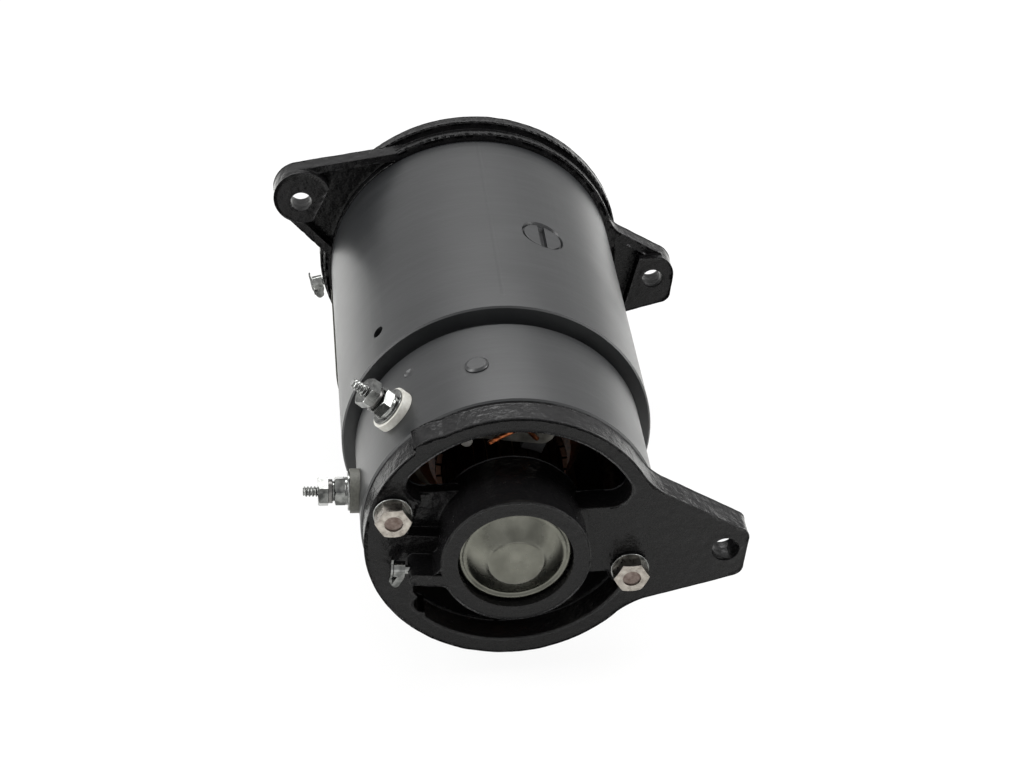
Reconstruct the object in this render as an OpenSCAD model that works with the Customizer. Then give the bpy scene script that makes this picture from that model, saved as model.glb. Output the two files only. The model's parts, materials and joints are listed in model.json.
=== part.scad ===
// Two-pole direct-current generator in a stepped round frame, with two cast end frames.
// The shaft runs along Y. The commutator end points to -Y and the drive end to +Y.
// The origin is the middle of the pulley seat on the drive shaft, and +Z is up.
// Angles are counted in the XZ plane, from +X towards +Z.

/* [Field frame] */
// Bore right through the frame
frame_bore_d = 95.2; // [88:0.1:104]
// Wall of the thick yoke section
yoke_wall = 9.55; // [8.5:0.05:12]
// Length of the thick yoke section
yoke_len = 121.4; // [116:0.2:150]
// Wall of the thin section around the brushes
shell_wall = 4.8; // [4:0.1:6]
// Length of the thin section around the brushes
shell_len = 50.3; // [49:0.1:56]
// Width of the groove that runs round beside the step
relief_len = 4.2; // [3:0.1:6]
// Depth of that groove
relief_depth = 2.4; // [1:0.1:3]
// Diameter of the vent hole in the yoke
vent_hole_d = 4.8; // [3:0.1:7]
// Angle of the vent hole
vent_hole_angle = 137.3; // [130:0.1:145]
// Distance of the vent hole from the step
vent_hole_from_step = 15.3; // [8:0.1:30]

/* [Through bolts] */
// Diameter of the two through bolts
bolt_d = 6.35; // [5.5:0.05:6.4]
// Distance of the bolts' axes inside the frame's bore
bolt_inset = 3.6; // [3.4:0.05:4.4]
// Angle of the left bolt, with the other one opposite
bolt_angle = 160; // [157:1:163]
// Distance across the flats of the bolt heads and nuts
bolt_flats = 11.1; // [10:0.1:11.6]
// Height of the bolt nuts
bolt_nut_h = 5.2; // [4:0.1:6.5]
// Height of the bolt heads
bolt_head_h = 4.2; // [3.5:0.1:5.5]
// Outside diameter of the bolt washers
bolt_washer_d = 13.7; // [13:0.1:14.5]
// Thickness of the bolt washers
bolt_washer_t = 1.5; // [1:0.1:2]

/* [Commutator end frame] */
// How far the plate's edge stays inside the thin section's surface
ce_plate_inset = 0.6; // [0:0.1:1]
// Thickness of the plate and of its hinge ear
ce_plate_t = 10.5; // [9.5:0.1:13]
// Outside diameter of the bearing hub
ce_hub_d = 52; // [50:0.1:57]
// How far the hub stands proud of the plate
ce_hub_proud = 12; // [11:0.1:14]
// How far the hub reaches back into the frame
ce_hub_tail = 4; // [3:0.1:4.4]
// Distance of the upper window's edge inside the frame's bore
window_top_inset = 1.6; // [1.4:0.1:3]
// Distance of the lower window's edge inside the frame's bore
window_low_inset = 2.8; // [1.6:0.1:4]
// Height of the left-hand web above the shaft axis
web_left_z = 18.5; // [17:0.1:21]
// Distance of the lower window's left end from the shaft axis
window_left_x = 35; // [33:0.1:37]
// Height of the right-hand web above the shaft axis
web_top_z = 12; // [10:0.1:14]
// Depth of the right-hand web below the shaft axis
web_low_z = 16.5; // [15:0.1:18]
// Depth of the cast pocket in the left-hand web
web_pocket_depth = 5.5; // [3:0.1:7]

/* [Hinge and strap ears] */
// Distance of the three ear holes from the shaft axis
ear_radius = 76; // [75:0.1:78]
// Angle of the two hinge ears, one on each end frame
hinge_angle = -7.4; // [-8.5:0.1:-6.5]
// Angle of the strap ear on the drive end frame
strap_angle = 153.3; // [151:0.1:155]
// Diameter of the commutator end's ear hole
ce_ear_hole_d = 9.9; // [9:0.1:11]
// Diameter of the drive end's two ear holes
de_ear_hole_d = 8.6; // [7.5:0.1:9.5]
// Distance of the hinge ears' upper edge from the shaft axis
ear_top_offset = 42.2; // [41:0.1:43.5]
// Distance of the hinge ears' lower edge from the shaft axis
ear_low_offset = 40.9; // [40:0.1:42]
// Distance of the hinge ears' end from the shaft axis
ear_end_offset = 83.7; // [83:0.1:88]
// The same distance on the drive end, whose ear is longer
de_ear_end_offset = 84.7; // [83:0.1:89]
// Radius of the hinge ears' corners
ear_corner_r = 4.8; // [4:0.1:6]
// Radius of the upper corner of the drive end's hinge ear
de_ear_corner_r = 10; // [8:0.1:12]
// Radius where the hinge ears run into the round plate
ear_fillet_r = 26; // [20:0.5:32]
// Radius where the drive end's hinge ear runs into its lip
de_fillet_r = 10; // [5:0.5:12]
// Distance of the ear bosses' straight inner edges from their holes
boss_in = 8.1; // [7:0.1:8.6]
// Distance of the hinge boss's upper edge from its hole
hinge_boss_top = 10; // [8:0.1:11]

/* [Drive end frame] */
// Depth from the joint with the yoke to the hub's outer face
de_depth = 32; // [31:0.1:34]
// How far the lip round the joint stands out from the yoke
de_lip_step = 3.15; // [2.6:0.05:4]
// How far the flange behind it stands out from the lip
de_flange_step = 1.4; // [1:0.1:4]
// Distance of the flange's front face from the joint
de_flange_from_joint = 7.4; // [7.2:0.1:8]
// Thickness of the flange
de_flange_t = 5.4; // [5:0.1:6]
// Outside diameter of the hub
de_hub_d = 56; // [55:0.1:58]
// Thickness of the two ears
de_ear_t = 7; // [6.4:0.1:7.2]
// Width of the rim round the cast pocket behind the strap boss
ear_rim = 3.5; // [2.5:0.1:4.5]
// Radius of the strap ear's round end
strap_end_r = 11.6; // [11:0.1:12.5]
// How far the ear bosses stand towards the yoke from the joint
boss_proud = 2.8; // [2:0.1:4]
// Depth of the cast pockets behind the ear bosses
de_pocket_depth = 4; // [2:0.1:4.6]

/* [Ball bearings] */
// Outside diameter of both bearings
bearing_od = 40; // [39.8:0.1:40.2]
// Bore of both bearings, which is the shaft's diameter at them
bearing_id = 17; // [16.8:0.1:17.2]
// Width of both bearings
bearing_w = 12; // [11.6:0.1:12.4]
// Diameter of the balls
ball_d = 6.2; // [5.6:0.1:6.4]
// Number of balls in each bearing
ball_count = 8; // [6:1:9]
// Gap between a ball and each race
ball_gap = 0.3; // [0.25:0.01:0.35]
// Depth of the commutator end bearing below the hub's face
ce_bearing_depth = 7.2; // [7:0.1:8]

/* [Bearing plug] */
// Depth of the plug's rim below the hub's face
plug_depth = 3.4; // [3:0.1:3.8]
// Thickness of the plug's sheet
plug_t = 1.2; // [0.9:0.1:1.4]
// Radius of the plug's flat crown
plug_crown_r = 9.8; // [8.5:0.1:11]
// How far the crown rises above the rim
plug_crown_h = 4.5; // [3.5:0.1:5]
// Length of the plug's cylindrical edge
plug_ring_t = 2.6; // [2.2:0.1:3.4]

/* [Armature] */
// Length of the laminated core, and of the pole shoes
core_len = 84; // [76:0.5:84.5]
// Distance of the core's middle from the step
core_from_step = 54.4; // [53:0.1:55.5]
// Number of slots in the core
slot_count = 14; // [10:1:16]
// Diameter of the shaft through the core
shaft_core_d = 22; // [21:0.1:23]
// Diameter of the commutator's brush track
commutator_d = 44; // [43:0.1:45]
// Length of the commutator
commutator_len = 27; // [26:0.1:28]
// Distance of the commutator's middle from the step
commutator_from_step = 29.5; // [29:0.1:30]
// Number of commutator bars
bar_count = 28; // [20:1:32]
// Width of the gap between two commutator bars
bar_gap = 0.8; // [0.6:0.05:1]

/* [Drive shaft] */
// Diameter of the pulley seat
seat_d = 15.9; // [14:0.1:16.8]
// Length of the pulley seat
seat_len = 26; // [20:0.5:34]
// Length of the spacer collar outside the hub
collar_len = 6; // [4:0.1:10]
// Outside diameter of the spacer collar
collar_d = 23; // [22:0.1:24]
// Diameter of the shaft's threaded end
thread_d = 12.7; // [11:0.1:13.9]
// Length of the threaded end
thread_len = 18; // [14:0.5:24]
// Width of the keyway in the pulley seat
keyway_w = 4; // [3:0.1:5]
// Diameter of the disc cutter that makes the keyway
keyway_d = 16; // [13:0.5:18]
// Depth of the keyway below the shaft's surface
keyway_depth = 3; // [2:0.1:3.5]

/* [Poles and field coils] */
// Angle of the upper pole, with the other one opposite
pole_angle = 67; // [64:1:70]
// Distance from the frame's bore to the faces of the poles
pole_depth = 12.5; // [11:0.1:14]
// Air gap between the pole shoes and the core
air_gap = 0.6; // [0.4:0.05:1]
// Width of the pole body that the coil goes round
pole_body_w = 34; // [30:0.5:36]
// Thickness of the pole tips
pole_tip_t = 3.6; // [3:0.1:3.8]
// Half the angle that the pole tips span
pole_tip_angle = 56; // [50:1:60]
// Half the angle that the coil spans
coil_angle = 66; // [60:1:70]
// Length of the coil beyond each end of its pole
coil_overhang = 9; // [7:0.1:10]
// Head diameter of the pole screws
pole_screw_d = 15; // [13.5:0.1:16.5]
// Width of the slot across their heads
screw_slot_w = 2.6; // [2:0.1:3]
// Diameter of the countersink round the pole screws' heads
countersink_d = 17; // [16.6:0.1:18.4]
// Thread diameter of the pole screws
pole_thread_d = 9.5; // [8:0.1:10]

/* [Brush gear] */
// Angle of the upper bracket's rivet, with the lower one opposite
bracket_angle = 100.5; // [99:0.1:102]
// Distance of the bracket rivets from the step
bracket_from_step = 27.8; // [27:0.1:28.6]
// Distance of the pivot pins inside the frame's bore
pivot_inset = 11.6; // [10.6:0.1:12.6]
// Angle between a brush and its pivot, seen from the shaft
pivot_lead = 47; // [46:0.5:49]
// Diameter of the pivot pins
pivot_d = 4; // [3.5:0.1:4.2]
// Width of the brushes round the commutator
brush_w = 8; // [7:0.1:9]
// Length of the brushes along the shaft
brush_len = 18; // [16:0.5:19]
// Height of the brushes
brush_h = 12; // [11:0.1:13]
// Gap between a brush and the commutator
brush_gap = 0.3; // [0.2:0.05:0.4]
// Thickness of the sheet in the brackets and the brush arms
sheet_t = 1.4; // [1.2:0.1:1.6]

/* [Terminals] */
// Angle of the armature terminal
armature_terminal_angle = 137; // [136:0.1:140]
// Distance of the armature terminal from the step
armature_terminal_from_step = 30.7; // [28:0.1:32]
// Angle of the field terminal
field_terminal_angle = 177.4; // [176:0.1:180]
// Distance of the field terminal from the step
field_terminal_from_step = 31; // [27:0.1:32]
// Thread diameter of the terminal studs
stud_d = 4.83; // [4:0.01:5]
// Diameter of the terminal insulators
insulator_d = 15.9; // [14.6:0.1:16.5]
// Thickness of the terminal insulators outside the frame
insulator_t = 3; // [2.4:0.1:4]
// Distance across the flats of the terminal nuts
stud_flats = 9.5; // [8.5:0.1:10]
// Height of the terminal nuts
stud_nut_h = 3.6; // [3:0.1:4]
// Free length of each stud beyond its outer nut
stud_free = 5.3; // [4:0.1:7]
// Diameter of that free end
stud_tip_d = 3.8; // [3.2:0.1:4.2]

/* [Oilers] */
// Outside diameter of the oiler cups
oiler_d = 5.8; // [5.2:0.1:6.4]
// Height of the oiler cups
oiler_h = 3.9; // [3.4:0.1:4.6]
// Diameter of the oil bosses' bore
oil_bore_d = 3.2; // [2.8:0.1:3.4]
// Diameter of the oil ways from there to the bearings
oil_way_d = 2.4; // [1.8:0.1:2.6]
// Angle of the commutator end oil boss's axis
ce_oil_angle = 173; // [171:0.5:175]
// How far that axis passes below the shaft axis
ce_oil_drop = 10; // [9.6:0.1:10.4]
// Distance of that boss's end from the middle of the hub
ce_oil_reach = 36; // [35:0.1:36.6]
// Thickness of that boss
ce_oil_w = 4.8; // [4.4:0.1:5.6]
// Length of the oilers' necks inside their bosses
oiler_neck = 4; // [3:0.1:5]
// Angle of the drive end oil boss
de_oil_angle = 192.7; // [191:0.1:195]
// Distance of the drive end oil boss from the joint
de_oil_from_joint = 13.2; // [12.8:0.1:13.6]
// Diameter of the drive end oil boss
de_oil_boss_d = 9; // [8:0.1:10]

/* [Name plate] */
// Length of the blank plate along the frame
plate_len = 60; // [50:1:66]
// Distance of the plate's middle from the step
plate_from_step = 78; // [74:0.5:80]
// Angle of the plate's upper edge
plate_angle = 181; // [180:1:186]
// Angle that the plate spans round the frame
plate_span = 42; // [30:1:48]
// Thickness of the plate
plate_t = 0.6; // [0.4:0.05:0.9]

/* [Small parts] */
// Edge chamfer of the machined frame and shaft
edge = 0.6; // [0.3:0.1:0.8]
// Thickness of the spigots that centre both end frames
register_t = 3; // [2:0.1:3.4]
// Wall of the spigots
register_wall = 1.4; // [1:0.1:1.6]
// Diameter of the bolt bosses in both end frames
bolt_boss_d = 16.4; // [15:0.1:17]
// Radius of the upper window's outer corners
window_corner = 7.2; // [5:0.1:8]
// Radius of the other window corners
small_corner = 4; // [2:0.1:5]
// Outer radius of the pocket in the left-hand web
pocket_r = 36.5; // [33:0.1:38]
// Diameter of the locating dowel
dowel_d = 3.2; // [2.6:0.1:3.4]
// Angle of the locating dowel
dowel_angle = 128.5; // [124:0.1:130]
// Radius of the low bump that covers the dowel
dowel_bump_r = 20; // [14:0.5:24]
// How far the bump rises from the plate's edge
dowel_bump_h = 1.8; // [1:0.1:2.4]
// How far the dowel reaches into the frame
dowel_reach = 6.3; // [5:0.1:8]
// Diameter of the dimple's ball cutter
dimple_d = 7; // [5:0.1:8]
// Depth of the dimple
dimple_depth = 0.8; // [0.5:0.1:1.2]
// Distance of the dimple from the step
dimple_from_step = 15.2; // [10:0.1:20]
// Shank diameter of the bracket rivets
rivet_d = 4; // [3:0.1:5]
// Head diameter of the bracket rivets
rivet_head_d = 8.5; // [7:0.1:9.5]
// Diameter of the insulating bushes in the frame wall
bush_d = 8; // [7:0.1:9]
// Wire diameter of the brush springs
spring_wire_d = 1.2; // [1:0.1:1.4]
// Diameter of the connecting leads
lead_d = 2.6; // [2:0.1:3]
// Diameter of the braided brush leads
pigtail_d = 1.8; // [1.4:0.1:2.2]
// Size of the screws in the bearing retainer
retainer_screw_d = 4; // [3:0.1:5]

/* [Hidden] */
fine = 96;
medium = 48;
small = 24;
fit = 0.02;
slack = 0.3;
cut = 1;
// How far a rounded slot corner's circle reaches past the edges that it rounds into
corner_over = 0.05;
far = 400;

// Places along the shaft
joint_y = -(seat_len / 2 + collar_len + de_depth);
step_y = joint_y - yoke_len;
shell_end_y = step_y - shell_len;
ce_front_y = shell_end_y - ce_plate_t;
hub_face_y = ce_front_y - ce_hub_proud;
hub_tail_y = shell_end_y + ce_hub_tail;
ce_bearing_y = hub_face_y + ce_bearing_depth;
de_lip_t = 6;
de_bearing_y = joint_y + de_depth - de_lip_t - bearing_w;
core_y = step_y + core_from_step;
commutator_y = step_y - commutator_from_step;
bracket_y = step_y - bracket_from_step;
flange_y = joint_y + de_flange_from_joint;
shaft_end_y = seat_len / 2 + thread_len;
shaft_ce_end_y = ce_bearing_y - 2.4;
hub_lip_y = joint_y + de_depth - de_lip_t;
bolt_seat_y = joint_y + de_depth / 2;
bolt_end_y = ce_front_y - bolt_washer_t - bolt_nut_h + edge;
armature_terminal_y = step_y - armature_terminal_from_step;
field_terminal_y = step_y - field_terminal_from_step;
ce_oiler_y = hub_face_y + 6;
de_oiler_y = joint_y + de_oil_from_joint;
dowel_end_y = shell_end_y + dowel_reach;

// Radii round the shaft
bore_r = frame_bore_d / 2;
yoke_r = bore_r + yoke_wall;
yoke_d = 2 * yoke_r;
shell_r = bore_r + shell_wall;
shell_d = 2 * shell_r;
bolt_radius = bore_r - bolt_inset;
pivot_radius = bore_r - pivot_inset;
dowel_radius = bore_r + shell_wall / 2;
register_in_r = bore_r - register_wall;
ce_plate_r = shell_r - ce_plate_inset;
ce_window_top_r = bore_r - window_top_inset;
ce_window_low_r = bore_r - window_low_inset;
de_lip_r = yoke_r + de_lip_step;
de_flange_r = de_lip_r + de_flange_step;
de_oil_r = de_flange_r - edge;
bar_in_r = commutator_d / 2 - 6.5;
race_r = bearing_od / 2;
shaft_r = bearing_id / 2;
felt_d = collar_d + 8;
retainer_t = 1.5;
retainer_d = bearing_od + 14;
retainer_screw_r = race_r + 3.6;
retainer_screw_step = 120;
de_window_r = bore_r - edge;
de_windows = [[-6, 56], [84, 146], [206, 236], [264, 326]];
pitch_r = (race_r + shaft_r) / 2;
pole_face_r = bore_r - pole_depth;
core_d = 2 * (pole_face_r - air_gap);
brush_r = commutator_d / 2 + brush_gap;

// Ears
ear_top_angle = hinge_angle + 65.4;
ear_low_angle = hinge_angle - 68.2;
ear_end_angle = hinge_angle + 1;
hinge_boss_angle = hinge_angle - 6.7;
hinge_hole = at(ear_radius, hinge_angle);
strap_hole = at(ear_radius, strap_angle);
strap_end = strap_hole + at(1.8, 70);
strap_top_angle = strap_angle - 55.5;
strap_low_angle = strap_angle + 66.7;

// Profile of the drive end casting as [radius, y] points
de_profile = [for (p = [
    [collar_d / 2, de_depth], [de_hub_d / 2 - edge, de_depth], [de_hub_d / 2, de_depth - edge],
    [de_hub_d / 2, de_depth - 4.5], [de_hub_d / 2 + 12, de_depth - 8], [yoke_r, de_depth - 16.5],
    [de_lip_r, de_flange_from_joint + de_flange_t],
    [de_flange_r - edge, de_flange_from_joint + de_flange_t],
    [de_flange_r, de_flange_from_joint + de_flange_t - edge],
    [de_flange_r, de_flange_from_joint + edge], [de_flange_r - edge, de_flange_from_joint],
    [de_lip_r - 1.8, de_flange_from_joint], [de_lip_r - 1.8, 3.4],
    [de_lip_r, 3], [de_lip_r, edge], [de_lip_r - edge, 0],
    [bore_r - fit, 0], [bore_r - fit, -register_t], [bore_r - 2, -register_t], [bore_r - 2, 3],
    [bore_r + 3, 8], [de_hub_d / 2 + 10, de_depth - 14.5], [de_hub_d / 2, de_depth - 11.5],
    [de_hub_d / 2, de_depth - de_lip_t - bearing_w], [collar_d / 2, de_depth - de_lip_t - bearing_w]
    ]) [p[0], p[1] + joint_y]];

// A point at radius r and angle a in the XZ plane
function at(r, a) = [r * cos(a), r * sin(a)];
// The point where the lines dot(p, at(1, a)) = p and dot(p, at(1, b)) = q cross
function crossing(a, p, b, q) =
    [p * sin(b) - q * sin(a), q * cos(a) - p * cos(b)] / sin(b - a);
// The angle, seen from the shaft, of a point at radius r on a line parallel to
// direction a and displaced by offset towards growing angles
function offset_angle(a, offset, r) = a + asin(offset / r);

// Draws a flat shape in the XZ plane and thickens it from y1 to y2
module slab(y1, y2) {
    translate([0, y2, 0]) rotate([90, 0, 0]) linear_extrude(height = y2 - y1) children();
}
// Turns a profile of [radius, y] points round the shaft axis
module turned(points) {
    rotate([-90, 0, 0]) rotate_extrude($fn = fine) polygon(points);
}
// A rod along Y
module rod(d, y1, y2, facets = medium) {
    translate([0, y1, 0]) rotate([-90, 0, 0]) cylinder(d = d, h = y2 - y1, $fn = facets);
}
// A sleeve along Y
module sleeve(od, id, y1, y2, facets = fine) {
    difference() {
        rod(od, y1, y2, facets);
        rod(id, y1 - cut, y2 + cut, facets);
    }
}
// Places children on the XZ plane at a point
module at_point(p) {
    translate([p[0], 0, p[1]]) children();
}
// Turns children so that their +X points along angle a
module around(a) {
    rotate([0, -a, 0]) children();
}
// Places children so that their +Z points outwards along angle a, at place y
module outwards(a, y) {
    translate([0, y, 0]) rotate([0, 90 - a, 0]) children();
}
// The half plane of points whose distance along angle a is at least d
module beyond(a, d) {
    rotate(a) translate([d, -far]) square([far, 2 * far]);
}
// A flat ring
module ring2d(r_out, r_in, facets = fine) {
    difference() {
        circle(r = r_out, $fn = facets);
        circle(r = r_in, $fn = facets);
    }
}
// The part of children between two angles less than 180 degrees apart
module wedge2d(a1, a2) {
    intersection() {
        children();
        beyond(a1 + 90, 0);
        beyond(a2 - 90, 0);
    }
}
// A slot in a ring whose ends are lines parallel to the directions a1 and a2, displaced
// by o1 and o2 into the slot, with rounded outer and inner corners
module arc_slot2d(r_in, r_out, a1, o1, a2, o2, corner, inner) {
    difference() {
        intersection() {
            ring2d(r_out, r_in);
            beyond(a1 + 90, o1);
            beyond(a2 - 90, o2);
        }
        for (e = [[a1, o1, 1], [a2, o2, -1]]) {
            corner_cut2d(r_out - corner + corner_over, e[0], e[1], e[2], corner, at(2 * corner, e[0]),
                r_out + corner);
            corner_cut2d(r_in + inner - corner_over, e[0], e[1], e[2], inner, at(-inner, e[0]), 0);
        }
    }
}
// What rounding takes off one corner of an arc slot. r is the distance of the rounding's
// centre from the shaft, and side is 1 at the slot's first end and -1 at its second
module corner_cut2d(r, a, o, side, corner, along, far_r) {
    turn = offset_angle(a, side * (o + corner - corner_over), r);
    foot = at(r, turn) - at(corner + cut, a + side * 90);
    difference() {
        polygon([at(r, turn), foot, foot + along, at(far_r, turn)]);
        translate(at(r, turn)) circle(r = corner, $fn = medium);
    }
}
// Two circles joined by their outer tangents
module link2d(p, rp, q, rq, facets = small) {
    v = q - p;
    turn = atan2(v[1], v[0]);
    lean = acos((rp - rq) / norm(v));
    polygon([p + at(rp, turn - lean), q + at(rq, turn - lean),
             q + at(rq, turn + lean), p + at(rp, turn + lean)]);
    translate(p) circle(r = rp, $fn = facets);
    translate(q) circle(r = rq, $fn = facets);
}
// The fillet of radius r between a disc and an edge line at distance offset along
// angle a. side is 1 where the edge leaves the disc towards growing angles, else -1
module edge_fillet2d(disc_r, a, offset, side, r) {
    reach = r - corner_over;
    along = side * sqrt(pow(disc_r + reach, 2) - pow(offset + reach, 2));
    centre = at(offset + reach, a) + at(along, a + 90);
    difference() {
        polygon([[0, 0], centre, centre - at(r, a)]);
        translate(centre) circle(r = r, $fn = fine);
    }
}
// A round bar from point p to point q
module bar(p, q, d) {
    v = q - p;
    translate(p) rotate([0, acos(v[2] / norm(v)), atan2(v[1], v[0])])
        cylinder(d = d, h = norm(v), $fn = small);
}
// A bent wire through a list of points
module wire(points, d) {
    for (i = [0:len(points) - 2]) bar(points[i], points[i + 1], d);
    for (p = points) translate(p) sphere(d = 1.2 * d, $fn = small);
}
// The point at radius r, angle a and place y
function spot(r, a, y) = [r * cos(a), y, r * sin(a)];
// A hexagon nut or head standing on z = 0, chamfered on top
module hex_nut(flats, h, hole_d = 0) {
    difference() {
        intersection() {
            cylinder(d = flats / cos(30), h = h, $fn = 6);
            cylinder(r1 = flats / 2 + h * tan(60), r2 = flats / 2, h = h, $fn = medium);
        }
        if (hole_d > 0) translate([0, 0, -cut]) cylinder(d = hole_d, h = h + 2 * cut, $fn = medium);
    }
}
// A washer standing on z = 0
module washer(od, id, t) {
    difference() {
        cylinder(d = od, h = t, $fn = medium);
        translate([0, 0, -cut]) cylinder(d = id, h = t + 2 * cut, $fn = medium);
    }
}
// Copies children to both bolts
module at_bolts() {
    for (a = [bolt_angle, bolt_angle + 180]) at_point(at(bolt_radius, a)) children();
}

// Outline of a hinge ear on a disc, with its end and its upper corner's radius
module hinge_ear2d(disc_r, fillet_r, end_offset, top_r) {
    top_in = top_r - corner_over;
    low_in = ear_corner_r - corner_over;
    top = crossing(ear_end_angle, end_offset - top_in, ear_top_angle, ear_top_offset - top_in);
    low = crossing(ear_low_angle, ear_low_offset - low_in, ear_end_angle, end_offset - low_in);
    translate(top) circle(r = top_r, $fn = medium);
    translate(low) circle(r = ear_corner_r, $fn = medium);
    polygon([top + at(top_in, ear_top_angle), at(ear_top_offset, ear_top_angle), [0, 0],
        at(ear_low_offset, ear_low_angle), low + at(low_in, ear_low_angle),
        low + at(low_in, ear_end_angle), top + at(top_in, ear_end_angle)]);
    edge_fillet2d(disc_r, ear_top_angle, ear_top_offset, -1, fillet_r);
    edge_fillet2d(disc_r, ear_low_angle, ear_low_offset, 1, fillet_r);
}
module de_hinge_ear2d() {
    hinge_ear2d(de_lip_r, de_fillet_r, de_ear_end_offset, de_ear_corner_r);
}
// Outline of the strap ear, trimmed by inset
module strap_ear2d(inset = 0) {
    r = strap_end_r - inset;
    reach = r - corner_over;
    translate(strap_end) circle(r = r, $fn = medium);
    polygon([strap_end, strap_end + at(reach, strap_top_angle), foot(strap_top_angle, reach), [0, 0],
        foot(strap_low_angle, reach), strap_end + at(reach, strap_low_angle)]);
}
// The point nearest to the shaft on the strap ear's edge line that faces angle a
function foot(a, r) = at(strap_end * at(1, a) + r, a);

// Sub-parts of the frame
module field_frame() {
    color([0.1, 0.1, 0.11]) difference() {
        turned([[bore_r, shell_end_y], [shell_r - edge, shell_end_y], [shell_r, shell_end_y + edge],
            [shell_r, step_y - relief_len], [shell_r - relief_depth, step_y - relief_len],
            [shell_r - relief_depth, step_y], [yoke_r - edge, step_y], [yoke_r, step_y + edge],
            [yoke_r, joint_y - edge], [yoke_r - edge, joint_y], [bore_r, joint_y]]);
        for (a = [pole_angle, pole_angle + 180]) outwards(a, core_y) {
            pole_screw_body(fit);
            translate([0, 0, yoke_r - edge - 1]) cylinder(d1 = countersink_d - 1, d2 = countersink_d + 1,
                h = 2, $fn = medium);
        }
        outwards(vent_hole_angle, step_y + vent_hole_from_step)
            cylinder(d = vent_hole_d, h = yoke_d, $fn = medium);
        for (a = [bracket_angle, bracket_angle + 180])
            outwards(a, bracket_y) cylinder(d = rivet_d + 2 * fit, h = yoke_d, $fn = medium);
        outwards(armature_terminal_angle, armature_terminal_y)
            cylinder(d = bush_d + 2 * fit, h = yoke_d, $fn = medium);
        outwards(field_terminal_angle, field_terminal_y)
            cylinder(d = bush_d + 2 * fit, h = yoke_d, $fn = medium);
        at_point(at(dowel_radius, dowel_angle))
            rod(dowel_d + 2 * fit, shell_end_y - cut, dowel_end_y + fit);
        translate(spot(shell_r + dimple_d / 2 - dimple_depth, dowel_angle, step_y - dimple_from_step))
            sphere(d = dimple_d, $fn = medium);
    }
}
module oil_lug2d() {
    half = ce_oil_w / 2;
    rotate(ce_oil_angle) translate([0, ce_oil_drop]) {
        translate([ce_hub_d / 4, -half]) square([ce_oil_reach - ce_hub_d / 4 - half, ce_oil_w]);
        translate([ce_oil_reach - half, 0]) circle(r = half, $fn = medium);
    }
    edge_fillet2d(ce_hub_d / 2, ce_oil_angle + 90, ce_oil_drop + half, -1, small_corner);
    edge_fillet2d(ce_hub_d / 2, ce_oil_angle - 90, half - ce_oil_drop, 1, small_corner);
}
module ce_windows2d() {
    r_in = ce_hub_d / 2 - cut;
    difference() {
        union() {
            arc_slot2d(r_in, ce_window_top_r, 0, web_top_z, 120, 0, window_corner, small_corner);
            arc_slot2d(r_in, ce_window_top_r, 60, 0, 180, web_left_z, window_corner, small_corner);
            arc_slot2d(r_in, ce_window_low_r, 240, 0, 360, web_low_z, small_corner, small_corner);
            low_window_left2d();
        }
        circle(d = ce_hub_d, $fn = fine);
        bolt_bosses2d();
    }
}
// The lower window's part on the left of the shaft, below the oil boss
module low_window_left2d() {
    inner_r = ce_window_low_r - small_corner;
    turn = acos((small_corner - window_left_x) / inner_r);
    intersection() {
        union() {
            intersection() {
                circle(r = ce_window_low_r, $fn = fine);
                beyond(0, small_corner - window_left_x);
            }
            intersection() {
                circle(r = inner_r, $fn = fine);
                beyond(0, -window_left_x);
            }
            translate(at(inner_r, -turn)) circle(r = small_corner, $fn = medium);
        }
        beyond(ce_oil_angle + 90, ce_oil_drop + ce_oil_w / 2);
        beyond(180, 0);
    }
}
module bolt_bosses2d() {
    for (a = [bolt_angle, bolt_angle + 180])
        translate(at(bolt_radius, a)) circle(d = bolt_boss_d, $fn = medium);
}
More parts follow.
